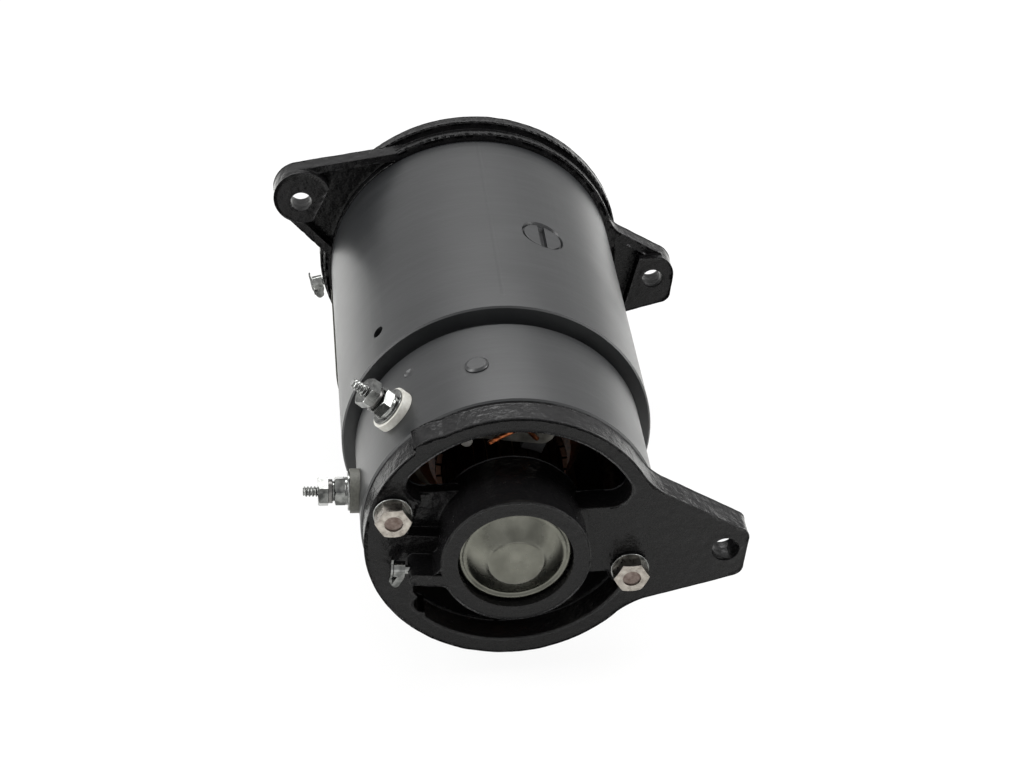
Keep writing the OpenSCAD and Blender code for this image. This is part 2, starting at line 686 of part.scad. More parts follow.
// A point on the commutator end oil boss's axis line, at place y
function ce_oil_point(reach, y) =
    spot(reach, ce_oil_angle, y) + spot(ce_oil_drop, ce_oil_angle + 90, 0);
module commutator_end_frame() {
    color([0.12, 0.12, 0.13]) difference() {
        union() {
            difference() {
                union() {
                    slab(ce_front_y, shell_end_y) {
                        circle(r = ce_plate_r, $fn = fine);
                        hinge_ear2d(ce_plate_r, ear_fillet_r, ear_end_offset, ear_corner_r);
                        wedge2d(dowel_angle - 60, dowel_angle + 1)
                            translate(at(ce_plate_r + dowel_bump_h - dowel_bump_r, dowel_angle))
                                circle(r = dowel_bump_r, $fn = fine);
                    }
                    rod(frame_bore_d - 2 * fit, shell_end_y - cut, shell_end_y + register_t, fine);
                }
                rod(2 * register_in_r, shell_end_y, shell_end_y + register_t + cut, fine);
                slab(ce_front_y - cut, shell_end_y + register_t + cut) ce_windows2d();
                slab(ce_front_y - cut, ce_front_y + web_pocket_depth) difference() {
                    wedge2d(dowel_angle, ce_oil_angle) ring2d(pocket_r, ce_hub_d / 2);
                    bolt_bosses2d();
                }
            }
            rod(ce_hub_d, hub_face_y, hub_tail_y, fine);
            slab(hub_face_y, shell_end_y - register_t) oil_lug2d();
        }
        rod(bearing_od + 2 * fit, hub_face_y - cut, ce_bearing_y + bearing_w, fine);
        rod(shaft_core_d + 6, hub_face_y, hub_tail_y + cut);
        bar(ce_oil_point(ce_oil_reach + cut, ce_oiler_y),
            ce_oil_point(ce_oil_reach - oiler_neck - slack, ce_oiler_y), oil_bore_d);
        bar(ce_oil_point(ce_oil_reach - oiler_neck, ce_oiler_y),
            ce_oil_point(pitch_r, ce_bearing_y + bearing_w / 2), oil_way_d);
        at_bolts() rod(bolt_d + 2 * slack, ce_front_y - cut, shell_end_y + register_t + cut);
        at_point(hinge_hole) rod(ce_ear_hole_d, ce_front_y - cut, shell_end_y + cut);
        at_point(at(dowel_radius, dowel_angle))
            rod(dowel_d + 2 * fit, ce_front_y + ce_plate_t / 2, shell_end_y + register_t + cut);
    }
}
module drive_end_frame() {
    color([0.12, 0.12, 0.13]) difference() {
        union() {
            difference() {
                turned(de_profile);
                slab(joint_y + 6, hub_lip_y + de_lip_t) difference() {
                    union() {
                        for (w = de_windows) arc_slot2d(de_hub_d / 2 + 3, de_window_r, w[0], 0, w[1], 0,
                            small_corner, small_corner);
                    }
                    bolt_bosses2d();
                }
                slab(bolt_seat_y, hub_lip_y + de_lip_t) intersection() {
                    bolt_bosses2d();
                    ring2d(yoke_r, de_hub_d / 2);
                }
            }
            at_bolts() rod(bolt_boss_d, joint_y + register_t, bolt_seat_y);
            outwards(de_oil_angle, de_oiler_y) translate([0, 0, de_hub_d / 2 - cut])
                cylinder(d = de_oil_boss_d, h = de_oil_r - de_hub_d / 2 + cut, $fn = medium);
            slab(joint_y + 2, joint_y + de_ear_t) outside_lip2d() de_hinge_ear2d();
            slab(joint_y, joint_y + de_ear_t) outside_lip2d() difference() {
                de_hinge_ear2d();
                beyond(ear_top_angle + 180, de_pocket_depth - ear_top_offset);
            }
            slab(joint_y - boss_proud - edge, joint_y + de_ear_t) intersection() {
                de_hinge_ear2d();
                beyond(hinge_boss_angle, hinge_hole * at(1, hinge_boss_angle) - boss_in);
                beyond(-90, -hinge_hole[1] - hinge_boss_top);
            }
            slab(joint_y, joint_y + de_ear_t) outside_lip2d() strap_ear2d();
            slab(joint_y - boss_proud, joint_y + de_ear_t) strap_boss2d();
        }
        slab(joint_y - cut, joint_y + de_pocket_depth) difference() {
            strap_ear2d(ear_rim);
            strap_boss2d();
            circle(r = yoke_r + slack, $fn = fine);
        }
        rod(bearing_od + 2 * fit, de_bearing_y - cut, hub_lip_y, fine);
        rod(collar_d + 2, de_bearing_y, joint_y + de_depth + cut);
        rod(felt_d, hub_lip_y + 1.4, hub_lip_y + 4.6);
        bar(spot(de_oil_r + cut, de_oil_angle, de_oiler_y),
            spot(de_oil_r - oiler_neck - slack, de_oil_angle, de_oiler_y), oil_bore_d);
        bar(spot(de_oil_r - oiler_neck, de_oil_angle, de_oiler_y),
            spot(pitch_r, de_oil_angle, de_bearing_y + bearing_w / 2), oil_way_d);
        at_bolts() rod(bolt_d + 2 * slack, joint_y - register_t - cut, bolt_seat_y + cut);
        for (p = [hinge_hole, strap_hole])
            at_point(p) rod(de_ear_hole_d, joint_y - 2 * boss_proud, joint_y + 2 * de_ear_t);
        for (i = [0:2]) at_point(at(retainer_screw_r, 30 + i * retainer_screw_step))
            rod(retainer_screw_d + 2 * fit, de_bearing_y - cut, de_bearing_y + 8);
    }
}
// Keeps children outside the drive end's lip, with a small overlap into it
module outside_lip2d() {
    difference() {
        children();
        circle(r = de_lip_r - 2, $fn = fine);
    }
}
// The strap boss is the ear's round end, cut off straight on the side of the yoke
module strap_boss2d() {
    intersection() {
        translate(strap_end) circle(r = strap_end_r, $fn = medium);
        beyond(strap_angle, ear_radius - boss_in);
    }
}
module bearing_plug() {
    slope = race_r - 2.6 - plug_crown_r;
    color([0.45, 0.42, 0.36]) translate([0, hub_face_y + plug_depth, 0]) turned([
        [0, -plug_crown_h], [plug_crown_r - 2 * edge, -plug_crown_h],
        [plug_crown_r, edge - plug_crown_h], [plug_crown_r + 0.2 * slope, -0.55 * plug_crown_h],
        [plug_crown_r + 0.5 * slope, -0.15 * plug_crown_h], [plug_crown_r + slope, 0.9],
        [race_r - 2, 0.7], [race_r - 1.4, 0], [race_r - 0.9, 0], [race_r - fit, 0.9],
        [race_r - fit, plug_ring_t], [race_r - plug_t, plug_ring_t],
        [race_r - plug_t, 0.9 + plug_t], [plug_crown_r + slope, 0.9 + plug_t],
        [plug_crown_r + 0.5 * slope - 0.6, plug_t - 0.15 * plug_crown_h],
        [plug_crown_r + 0.2 * slope - 1, plug_t - 0.55 * plug_crown_h],
        [plug_crown_r - 2 * edge, plug_t - plug_crown_h], [0, plug_t - plug_crown_h]]);
}
// Bearings, one at each end, starting at place y
module outer_race(y) {
    color([0.6, 0.6, 0.62]) difference() {
        sleeve(bearing_od, 2 * pitch_r + ball_d * 0.6, y, y + bearing_w);
        race_groove(y);
    }
}
module inner_race(y) {
    color([0.6, 0.6, 0.62]) difference() {
        sleeve(2 * pitch_r - ball_d * 0.6, bearing_id + 2 * fit, y, y + bearing_w);
        race_groove(y);
    }
}
module race_groove(y) {
    translate([0, y + bearing_w / 2, 0]) rotate([-90, 0, 0]) rotate_extrude($fn = fine)
        translate([pitch_r, 0]) circle(d = ball_d + 2 * ball_gap, $fn = medium);
}
module balls(y) {
    color([0.7, 0.7, 0.72]) {
        for (i = [0:ball_count - 1])
            translate(spot(pitch_r, (i + 0.5) * 360 / ball_count, y + bearing_w / 2))
                sphere(d = ball_d, $fn = medium);
        turned([for (p = [[-1, -1], [1, -1], [1, 1], [-1, 1]])
            [pitch_r + 1.1 * p[0], y + bearing_w / 2 + 1.5 * p[1]]]);
    }
}
module ce_bearing_outer_race() {
    outer_race(ce_bearing_y);
}
module ce_bearing_inner_race() {
    inner_race(ce_bearing_y);
}
module ce_bearing_balls() {
    balls(ce_bearing_y);
}
module de_bearing_outer_race() {
    outer_race(de_bearing_y);
}
module de_bearing_inner_race() {
    inner_race(de_bearing_y);
}
module de_bearing_balls() {
    balls(de_bearing_y);
}
module bearing_retainer() {
    color([0.5, 0.5, 0.5]) difference() {
        sleeve(retainer_d, shaft_core_d + 6, de_bearing_y - retainer_t, de_bearing_y - fit);
        for (i = [0:2]) at_point(at(retainer_screw_r, 30 + i * retainer_screw_step))
            rod(retainer_screw_d + 2 * fit, de_bearing_y - retainer_t - cut, de_bearing_y + cut);
    }
}
module retainer_screws() {
    color([0.6, 0.6, 0.6]) for (i = [0:2]) at_point(at(retainer_screw_r, 30 + i * retainer_screw_step)) {
        rod(retainer_screw_d, de_bearing_y - retainer_t - fit, de_bearing_y + 7);
        rod(retainer_screw_d * 1.6, de_bearing_y - retainer_t - 2.4, de_bearing_y - retainer_t - fit);
    }
}
module felt_seal() {
    color([0.6, 0.55, 0.45])
        sleeve(felt_d - 2 * fit, collar_d + 2 * slack, hub_lip_y + 1.4 + fit, hub_lip_y + 4.6 - fit);
}
// Poles, field coils and their screws
module pole_screw_body(extra) {
    head = yoke_r - edge;
    rotate_extrude($fn = medium) polygon([[0, pole_face_r + 6], [pole_thread_d / 2 + extra, pole_face_r + 6],
        [pole_thread_d / 2 + extra, head - 4], [pole_screw_d / 2 + extra, head - 0.5],
        [pole_screw_d / 2 + extra, head + 20 * extra], [0, head + 20 * extra]]);
}
module pole_screws() {
    color([0.12, 0.12, 0.13]) for (a = [pole_angle, pole_angle + 180])
        outwards(a, core_y) difference() {
            pole_screw_body(0);
            translate([-screw_slot_w / 2, -pole_screw_d, yoke_r - edge - 2])
                cube([screw_slot_w, 2 * pole_screw_d, 4]);
        }
}
module pole_shoe(a) {
    color([0.35, 0.35, 0.37]) difference() {
        around(a) slab(core_y - core_len / 2, core_y + core_len / 2) difference() {
            union() {
                wedge2d(-pole_tip_angle, pole_tip_angle)
                    ring2d(pole_face_r + pole_tip_t, pole_face_r);
                intersection() {
                    translate([pole_face_r - 2, -pole_body_w / 2]) square([yoke_r, pole_body_w]);
                    ring2d(bore_r - fit, pole_face_r);
                }
            }
        }
        outwards(a, core_y) translate([0, 0, pole_face_r + 5])
            cylinder(d = pole_thread_d + 2 * fit, h = yoke_r, $fn = medium);
    }
}
module field_coil(a) {
    color([0.4, 0.28, 0.16]) around(a) difference() {
        slab(core_y - core_len / 2 - coil_overhang, core_y + core_len / 2 + coil_overhang)
            wedge2d(-coil_angle, coil_angle)
                ring2d(bore_r - slack, pole_face_r + pole_tip_t + slack);
        translate([0, core_y - core_len / 2 - slack, -pole_body_w / 2 - slack])
            cube([far, core_len + 2 * slack, pole_body_w + 2 * slack]);
    }
}
module upper_pole_shoe() { pole_shoe(pole_angle); }
module lower_pole_shoe() { pole_shoe(pole_angle + 180); }
module upper_field_coil() { field_coil(pole_angle); }
module lower_field_coil() { field_coil(pole_angle + 180); }

// Through bolts with their washers and nuts, and the locating dowel
module through_bolts() {
    color([0.45, 0.42, 0.38]) at_bolts() {
        rod(bolt_d, bolt_end_y, bolt_seat_y + cut);
        translate([0, bolt_seat_y, 0]) rotate([-90, 0, 0]) hex_nut(bolt_flats, bolt_head_h);
    }
}
module through_bolt_washers() {
    color([0.8, 0.8, 0.82]) at_bolts() translate([0, ce_front_y, 0]) rotate([90, 0, 0])
        washer(bolt_washer_d, bolt_d + slack, bolt_washer_t);
}
module through_bolt_nuts() {
    color([0.7, 0.68, 0.64]) at_bolts() translate([0, ce_front_y - bolt_washer_t, 0]) rotate([90, 0, 0])
        hex_nut(bolt_flats, bolt_nut_h, bolt_d + 2 * fit);
}
module locating_dowel() {
    color([0.5, 0.5, 0.5]) at_point(at(dowel_radius, dowel_angle))
        rod(dowel_d, ce_front_y + ce_plate_t / 2, dowel_end_y);
}

// Terminals. z is the distance from the shaft axis
terminal_base = shell_r + insulator_t;
flat_washer_t = 0.8;
small_washer_t = 1;
thin_washer_t = 0.7;
lock_washer_t = 1.6;
first_nut = terminal_base + flat_washer_t + small_washer_t;
lock_z = first_nut + stud_nut_h + thin_washer_t;
second_nut = lock_z + lock_washer_t;
inner_washer_t = 2.4;
stud_head_h = 2.6;
stud_head_z = bore_r - inner_washer_t - stud_head_h;
module at_terminals() {
    outwards(armature_terminal_angle, armature_terminal_y) children();
    outwards(field_terminal_angle, field_terminal_y) children();
}
module stud() {
    color([0.8, 0.8, 0.78]) {
        translate([0, 0, stud_head_z + cut]) cylinder(d = stud_d,
            h = second_nut + stud_nut_h - stud_head_z - cut, $fn = medium);
        translate([0, 0, second_nut]) cylinder(d = stud_tip_d, h = stud_nut_h + stud_free, $fn = medium);
        translate([0, 0, stud_head_z]) cylinder(d = 2 * stud_d, h = stud_head_h, $fn = medium);
    }
}
module insulator(a, y) {
    color([0.75, 0.75, 0.72]) difference() {
        union() {
            difference() {
                outwards(a, y) translate([0, 0, bore_r]) cylinder(d = insulator_d,
                    h = terminal_base - bore_r, $fn = medium);
                rod(shell_d, shell_end_y, step_y, fine);
            }
            intersection() {
                outwards(a, y) translate([0, 0, bore_r - inner_washer_t])
                    cylinder(d = bush_d + 5, h = terminal_base - bore_r, $fn = medium);
                rod(frame_bore_d, shell_end_y, step_y, fine);
            }
            outwards(a, y) translate([0, 0, bore_r - inner_washer_t])
                cylinder(d = bush_d, h = terminal_base + inner_washer_t - bore_r, $fn = medium);
        }
        outwards(a, y) cylinder(d = stud_d + 2 * fit, h = yoke_d, $fn = medium);
    }
}
module armature_stud() { outwards(armature_terminal_angle, armature_terminal_y) stud(); }
module field_stud() { outwards(field_terminal_angle, field_terminal_y) stud(); }
module armature_insulator() { insulator(armature_terminal_angle, armature_terminal_y); }
module field_insulator() { insulator(field_terminal_angle, field_terminal_y); }
module terminal_washers() {
    color([0.85, 0.85, 0.86]) at_terminals() {
        translate([0, 0, terminal_base]) washer(insulator_d - 1.8, stud_d + slack, flat_washer_t);
        translate([0, 0, terminal_base + flat_washer_t])
            washer(stud_flats + 0.6, stud_d + slack, small_washer_t);
        translate([0, 0, lock_z - thin_washer_t]) washer(1.5 * stud_d, stud_d + slack, thin_washer_t);
    }
}
module terminal_lock_washers() {
    color([0.8, 0.8, 0.82]) at_terminals() translate([0, 0, lock_z]) difference() {
        washer(stud_flats - 0.9, stud_d + slack, lock_washer_t);
        rotate([20, 0, 30]) translate([0, -0.4, -cut]) cube([stud_flats, 0.8, 2 * lock_washer_t]);
    }
}
module terminal_nuts() {
    color([0.85, 0.85, 0.86]) at_terminals() {
        translate([0, 0, first_nut]) hex_nut(stud_flats, stud_nut_h, stud_d + 2 * fit);
        translate([0, 0, second_nut]) rotate([0, 0, 17])
            hex_nut(stud_flats, stud_nut_h, stud_d + 2 * fit);
    }
}

// Brush gear. The lower set is the upper one turned half a turn
pivot = at(pivot_radius, pole_angle + pivot_lead);
arm_t = brush_len / 2 + fit;
arm_end = arm_t + sheet_t;
bracket_start = arm_end + slack;
bracket_end = bracket_start + sheet_t;
module both_brush_sets() {
    for (a = [0, 180]) around(a) translate([0, bracket_y, 0]) children();
}
module mirrored_slab(t1, t2) {
    slab(t1, t2) children();
    slab(-t2, -t1) children();
}
module brush_bracket() {
    color([0.62, 0.6, 0.5]) translate([0, bracket_y, 0]) difference() {
        union() {
            slab(-bracket_end, bracket_end) wedge2d(bracket_angle - 9, pole_angle + pivot_lead + 9)
                ring2d(bore_r - fit, bore_r - sheet_t);
            mirrored_slab(bracket_start, bracket_end)
                link2d(pivot, pivot_d, at(bore_r - sheet_t - 3.2, pole_angle + pivot_lead), pivot_d);
        }
        at_point(pivot) rod(pivot_d + 2 * fit, -far, far);
        outwards(bracket_angle, 0) cylinder(d = rivet_d + 2 * fit, h = yoke_d, $fn = medium);
    }
}
module upper_brush_bracket() { brush_bracket(); }
module lower_brush_bracket() { around(180) brush_bracket(); }
module bracket_rivets() {
    color([0.3, 0.3, 0.3]) difference() {
        for (a = [bracket_angle, bracket_angle + 180]) outwards(a, bracket_y) {
            translate([0, 0, bore_r - sheet_t - 1.6]) cylinder(d = rivet_d, h = shell_r - bore_r + 4,
                $fn = medium);
            translate([0, 0, bore_r - sheet_t - 1.6]) cylinder(d = rivet_head_d - 1, h = 1.3,
                $fn = medium);
            translate([0, 0, shell_r - 1]) cylinder(d = rivet_head_d, h = 1.4, $fn = medium);
            translate([0, 0, shell_r + 0.4]) cylinder(d1 = rivet_head_d, d2 = rivet_head_d - 2, h = 0.7,
                $fn = medium);
        }
        difference() {
            rod(shell_d, bracket_y - rivet_head_d, bracket_y + rivet_head_d, fine);
            rod(2 * (bore_r - sheet_t), bracket_y - far, bracket_y + far, fine);
            for (a = [bracket_angle, bracket_angle + 180])
                outwards(a, bracket_y) cylinder(d = rivet_d, h = yoke_d, $fn = medium);
        }
    }
}
module pivot_pins() {
    color([0.6, 0.6, 0.62]) both_brush_sets() at_point(pivot)
        rod(pivot_d, -bracket_end - 7, bracket_end + 4);
}
module brush_arm() {
    holder = at(brush_r + brush_h - 3, pole_angle);
    color([0.7, 0.6, 0.35]) translate([0, bracket_y, 0]) difference() {
        union() {
            mirrored_slab(arm_t, arm_end) link2d(pivot, pivot_d, holder, brush_w / 2 + 0.6, medium);
            at_point(pivot) rod(2 * pivot_d - 1, -arm_t - sheet_t / 2, arm_t + sheet_t / 2);
            around(pole_angle) translate([brush_r + brush_h + fit, -arm_t - sheet_t / 2, -brush_w / 2])
                cube([sheet_t, 2 * arm_t + sheet_t, brush_w]);
        }
        at_point(pivot) rod(pivot_d + 2 * slack, -far, far);
    }
}
module brush() {
    color([0.2, 0.2, 0.21]) translate([0, bracket_y, 0]) difference() {
        around(pole_angle) translate([brush_r - 2, -brush_len / 2, -brush_w / 2])
            cube([brush_h + 2, brush_len, brush_w]);
        rod(2 * brush_r, -brush_len, brush_len, fine);
    }
}
module brush_spring() {
    ring_r = pivot_d + spring_wire_d / 2;
    color([0.5, 0.5, 0.52]) translate([0, bracket_y, 0]) at_point(pivot) for (y = [-3:3])
        translate([0, y * spring_wire_d, 0]) rotate([-90, 0, 0]) rotate_extrude($fn = medium)
            translate([ring_r, 0]) circle(d = spring_wire_d + 2 * fit, $fn = small);
}
module pigtail() {
    y = bracket_y - arm_end - 0.7 * pigtail_d;
    color([0.75, 0.4, 0.2]) wire([spot(brush_r + 7, pole_angle + 2, y),
        spot(brush_r + 13.5, pole_angle + 16, y - 5), spot(brush_r + 10.5, pole_angle + 34, y - 7),
        spot(brush_r + 6, pole_angle + 30, y)], pigtail_d);
}
module upper_brush_arm() { brush_arm(); }
module lower_brush_arm() { around(180) brush_arm(); }
module upper_brush() { brush(); }
module lower_brush() { around(180) brush(); }
module upper_brush_spring() { brush_spring(); }
module lower_brush_spring() { around(180) brush_spring(); }
module upper_pigtail() { pigtail(); }
module lower_pigtail() { around(180) pigtail(); }
// Leads start beside the heads of their studs, below the inner washers
lead_z = bore_r - inner_washer_t - 0.6 * lead_d - slack;
lead_turn = asin((stud_d + 0.6 * lead_d + slack) / lead_z);
module armature_lead() {
    color([0.6, 0.15, 0.1]) wire([
        spot(lead_z, armature_terminal_angle - lead_turn, armature_terminal_y),
        spot(bore_r - sheet_t - 0.6 * lead_d - slack, pole_angle + pivot_lead + 6, bracket_y)], lead_d);
}
module field_lead() {
    color([0.6, 0.15, 0.1]) wire([
        spot(lead_z, field_terminal_angle - lead_turn, field_terminal_y),
        spot(bore_r - 10, bolt_angle, field_terminal_y + 12),
        spot(bore_r - 8, bolt_angle - 14, field_terminal_y + 24),
        spot(bore_r - 4, pole_angle + coil_angle - 4,
            core_y - core_len / 2 - coil_overhang - 0.6 * lead_d - slack)], lead_d);
}

// Armature
module armature_shaft() {
    color([0.65, 0.65, 0.67]) difference() {
        turned([[0, shaft_ce_end_y], [shaft_r - edge, shaft_ce_end_y], [shaft_r, shaft_ce_end_y + edge],
            [shaft_r, ce_bearing_y - 1.3], [shaft_r - edge, ce_bearing_y - 1.3],
            [shaft_r - edge, ce_bearing_y - 0.1], [shaft_r, ce_bearing_y - 0.1],
            [shaft_r, ce_bearing_y + bearing_w], [shaft_core_d / 2, ce_bearing_y + bearing_w],
            [shaft_core_d / 2, de_bearing_y], [shaft_r, de_bearing_y], [shaft_r, -seat_len / 2],
            [seat_d / 2, -seat_len / 2], [seat_d / 2, seat_len / 2 - edge],
            [seat_d / 2 - edge, seat_len / 2], [thread_d / 2, seat_len / 2],
            [thread_d / 2, shaft_end_y - 2 * edge], [thread_d / 2 - 2 * edge, shaft_end_y],
            [0, shaft_end_y]]);
        translate([0, 0, seat_d / 2 - keyway_depth + keyway_d / 2]) rotate([0, 90, 0])
            cylinder(d = keyway_d, h = keyway_w, center = true, $fn = fine);
    }
}
slot_r = 2.4;
slot_in = core_d / 2 - 7.5;
slot_out = core_d / 2 - 4.3;
module at_slots() {
    for (i = [0:slot_count - 1]) rotate(i * 360 / slot_count) children();
}
module armature_core() {
    color([0.3, 0.3, 0.32]) slab(core_y - core_len / 2, core_y + core_len / 2) difference() {
        circle(d = core_d, $fn = fine);
        circle(d = shaft_core_d + 2 * fit, $fn = fine);
        at_slots() {
            link2d([slot_in, 0], slot_r, [slot_out, 0], slot_r, small);
            translate([slot_out, -slot_r / 2]) square([core_d, slot_r]);
        }
    }
}
module armature_windings() {
    front = core_y - core_len / 2;
    back = core_y + core_len / 2;
    outer = slot_out + 1;
    inner = shaft_core_d / 2 + 1.5;
    color([0.5, 0.25, 0.1]) {
        slab(front - cut, back + cut) at_slots()
            link2d([slot_in, 0], slot_r - fit, [slot_out, 0], slot_r - fit, small);
        turned([[inner, front - fit], [outer, front - fit], [outer, front - 14], [outer - 5, front - 22],
            [inner + 6, front - 22], [inner, front - 18]]);
        turned([[inner, back + fit], [outer, back + fit], [outer, back + 9], [outer - 5, back + 13],
            [inner + 4, back + 13], [inner, back + 10]]);
    }
}
riser_t = 2.4;
module commutator_bars() {
    color([0.72, 0.42, 0.25]) difference() {
        turned([[bar_in_r, commutator_y - commutator_len / 2], [commutator_d / 2 - edge,
            commutator_y - commutator_len / 2], [commutator_d / 2, commutator_y - commutator_len / 2 + edge],
            [commutator_d / 2, commutator_y + commutator_len / 2 - riser_t],
            [commutator_d / 2 + 2, commutator_y + commutator_len / 2 - riser_t],
            [commutator_d / 2 + 2, commutator_y + commutator_len / 2],
            [bar_in_r, commutator_y + commutator_len / 2]]);
        slab(commutator_y - commutator_len, commutator_y + commutator_len) at_bar_gaps()
            translate([0, -bar_gap / 2]) square([commutator_d, bar_gap]);
    }
}
module at_bar_gaps() {
    for (i = [0:bar_count - 1]) rotate((i + 0.5) * 360 / bar_count) children();
}
module commutator_insulation() {
    color([0.35, 0.22, 0.12]) difference() {
        slab(commutator_y - commutator_len / 2, commutator_y + commutator_len / 2) {
            circle(r = bar_in_r - fit, $fn = fine);
            at_bar_gaps() translate([bar_in_r - cut, fit - bar_gap / 2])
                square([commutator_d / 2 - bar_in_r, bar_gap - 2 * fit]);
        }
        rod(shaft_core_d + 2 * fit, commutator_y - commutator_len, commutator_y + commutator_len, fine);
    }
}
module shaft_collar() {
    color([0.6, 0.6, 0.62])
        sleeve(collar_d, bearing_id + 2 * fit, hub_lip_y + fit, -seat_len / 2);
}
module shaft_snap_ring() {
    color([0.55, 0.55, 0.57]) difference() {
        sleeve(bearing_id + 3, bearing_id - 2 * edge + 2 * fit, ce_bearing_y - 1.2, ce_bearing_y - 0.2);
        slab(ce_bearing_y - 2, ce_bearing_y + 1) wedge2d(80, 110) circle(d = 2 * bearing_id, $fn = fine);
    }
}

// Oilers. +X points outwards along the oil boss and +Z towards the lid's tab
lid_t = 0.7;
curl_d = 3.6;
curl_pin_d = 1.2;
hinge_drop = oiler_d / 2 + 2.2;
curl_half = 1;
module oiler_cup() {
    color([0.8, 0.8, 0.78]) {
        difference() {
            union() {
                rotate([0, 90, 0]) translate([0, 0, -oiler_neck])
                    cylinder(d = oil_bore_d - 2 * fit, h = oiler_neck + 2 * edge + cut, $fn = medium);
                translate([edge * 2, 0, 0]) rotate([0, 90, 0]) cylinder(d = oiler_d, h = oiler_h, $fn = medium);
                mirrored_slab(curl_half + slack, curl_half + slack + 1)
                    link2d([oiler_h - 1.4, -oiler_d / 2 + 0.8], 1.2, [oiler_h, -hinge_drop], 1.2, small);
            }
            translate([edge * 2 + 1.2, 0, 0]) rotate([0, 90, 0])
                cylinder(d = oiler_d - 1.6, h = oiler_h, $fn = medium);
            translate([-oiler_neck - cut, 0, 0]) rotate([0, 90, 0])
                cylinder(d = oil_bore_d / 2, h = oiler_neck + oiler_h, $fn = small);
        }
        translate([oiler_h, 0, -hinge_drop]) rod(curl_pin_d, -curl_half - slack - 1, curl_half + slack + 1,
            small);
    }
}
module oiler_lid() {
    face = oiler_h + edge * 2 + slack;
    color([0.85, 0.85, 0.84]) difference() {
        union() {
            translate([face, 0, 0]) rotate([0, 90, 0]) cylinder(d = oiler_d + 0.5, h = lid_t, $fn = medium);
            translate([face, -1.2, 0]) cube([lid_t, 2.4, oiler_d / 2 + 1.9]);
            translate([face, -curl_half, -hinge_drop]) cube([lid_t, 2 * curl_half, hinge_drop]);
            translate([oiler_h, 0, -hinge_drop]) rod(curl_d, -curl_half, curl_half, small);
        }
        translate([oiler_h, 0, -hinge_drop]) rod(curl_pin_d + 2 * slack, -2, 2, small);
    }
}
module at_ce_oiler() {
    translate(ce_oil_point(ce_oil_reach, ce_oiler_y)) around(ce_oil_angle) mirror([0, 0, 1])
        children();
}
module at_de_oiler() {
    translate(spot(de_oil_r, de_oil_angle, de_oiler_y)) around(de_oil_angle)
        mirror([0, 0, 1]) children();
}
module ce_oiler() { at_ce_oiler() oiler_cup(); }
module ce_oiler_lid() { at_ce_oiler() oiler_lid(); }
module de_oiler() { at_de_oiler() oiler_cup(); }
module de_oiler_lid() { at_de_oiler() oiler_lid(); }

module name_plate() {
    y = step_y + plate_from_step;
    color([0.2, 0.2, 0.17]) slab(y - plate_len / 2, y + plate_len / 2)
        wedge2d(plate_angle, plate_angle + plate_span) ring2d(yoke_r + plate_t, yoke_r + fit);
}

field_frame();
commutator_end_frame();
drive_end_frame();
bearing_plug();
ce_bearing_outer_race();
ce_bearing_inner_race();
ce_bearing_balls();
de_bearing_outer_race();
de_bearing_inner_race();
de_bearing_balls();
bearing_retainer();
retainer_screws();
felt_seal();
upper_pole_shoe();
lower_pole_shoe();
pole_screws();
upper_field_coil();
lower_field_coil();
through_bolts();
through_bolt_washers();
through_bolt_nuts();
armature_stud();
field_stud();
armature_insulator();
field_insulator();
terminal_washers();
terminal_lock_washers();
terminal_nuts();
upper_brush_bracket();
lower_brush_bracket();
bracket_rivets();
pivot_pins();
upper_brush_arm();
lower_brush_arm();
upper_brush();
lower_brush();
upper_brush_spring();
lower_brush_spring();
upper_pigtail();
lower_pigtail();
armature_lead();
field_lead();
locating_dowel();
armature_shaft();
armature_core();
armature_windings();
commutator_bars();
commutator_insulation();
shaft_collar();
shaft_snap_ring();
ce_oiler();
ce_oiler_lid();
de_oiler();
de_oiler_lid();
name_plate();
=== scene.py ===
import json
import math

import bmesh
import bpy
from mathutils import Matrix, Vector, noise


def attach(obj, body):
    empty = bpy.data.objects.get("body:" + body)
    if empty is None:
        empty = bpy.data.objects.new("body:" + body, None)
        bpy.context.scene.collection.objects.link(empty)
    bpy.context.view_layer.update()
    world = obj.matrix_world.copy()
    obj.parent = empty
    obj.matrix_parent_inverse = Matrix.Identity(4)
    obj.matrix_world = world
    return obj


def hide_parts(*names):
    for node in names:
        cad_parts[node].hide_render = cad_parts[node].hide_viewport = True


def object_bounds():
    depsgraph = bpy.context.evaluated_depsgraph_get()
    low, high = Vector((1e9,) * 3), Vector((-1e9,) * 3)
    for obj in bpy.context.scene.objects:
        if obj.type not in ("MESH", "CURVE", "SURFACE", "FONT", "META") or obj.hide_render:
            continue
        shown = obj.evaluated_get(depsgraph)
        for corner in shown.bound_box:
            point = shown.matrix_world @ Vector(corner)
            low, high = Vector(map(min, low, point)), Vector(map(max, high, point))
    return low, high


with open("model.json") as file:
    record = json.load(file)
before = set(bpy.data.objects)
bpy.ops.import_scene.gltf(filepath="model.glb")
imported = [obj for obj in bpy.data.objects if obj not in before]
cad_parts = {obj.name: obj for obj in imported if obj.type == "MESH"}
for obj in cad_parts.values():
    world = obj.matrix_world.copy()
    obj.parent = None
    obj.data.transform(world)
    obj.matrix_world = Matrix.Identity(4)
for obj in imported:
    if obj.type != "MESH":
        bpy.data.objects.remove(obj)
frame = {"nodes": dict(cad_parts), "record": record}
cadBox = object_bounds()
nodes = frame["nodes"]
print("frame loaded:", len(nodes), "nodes")

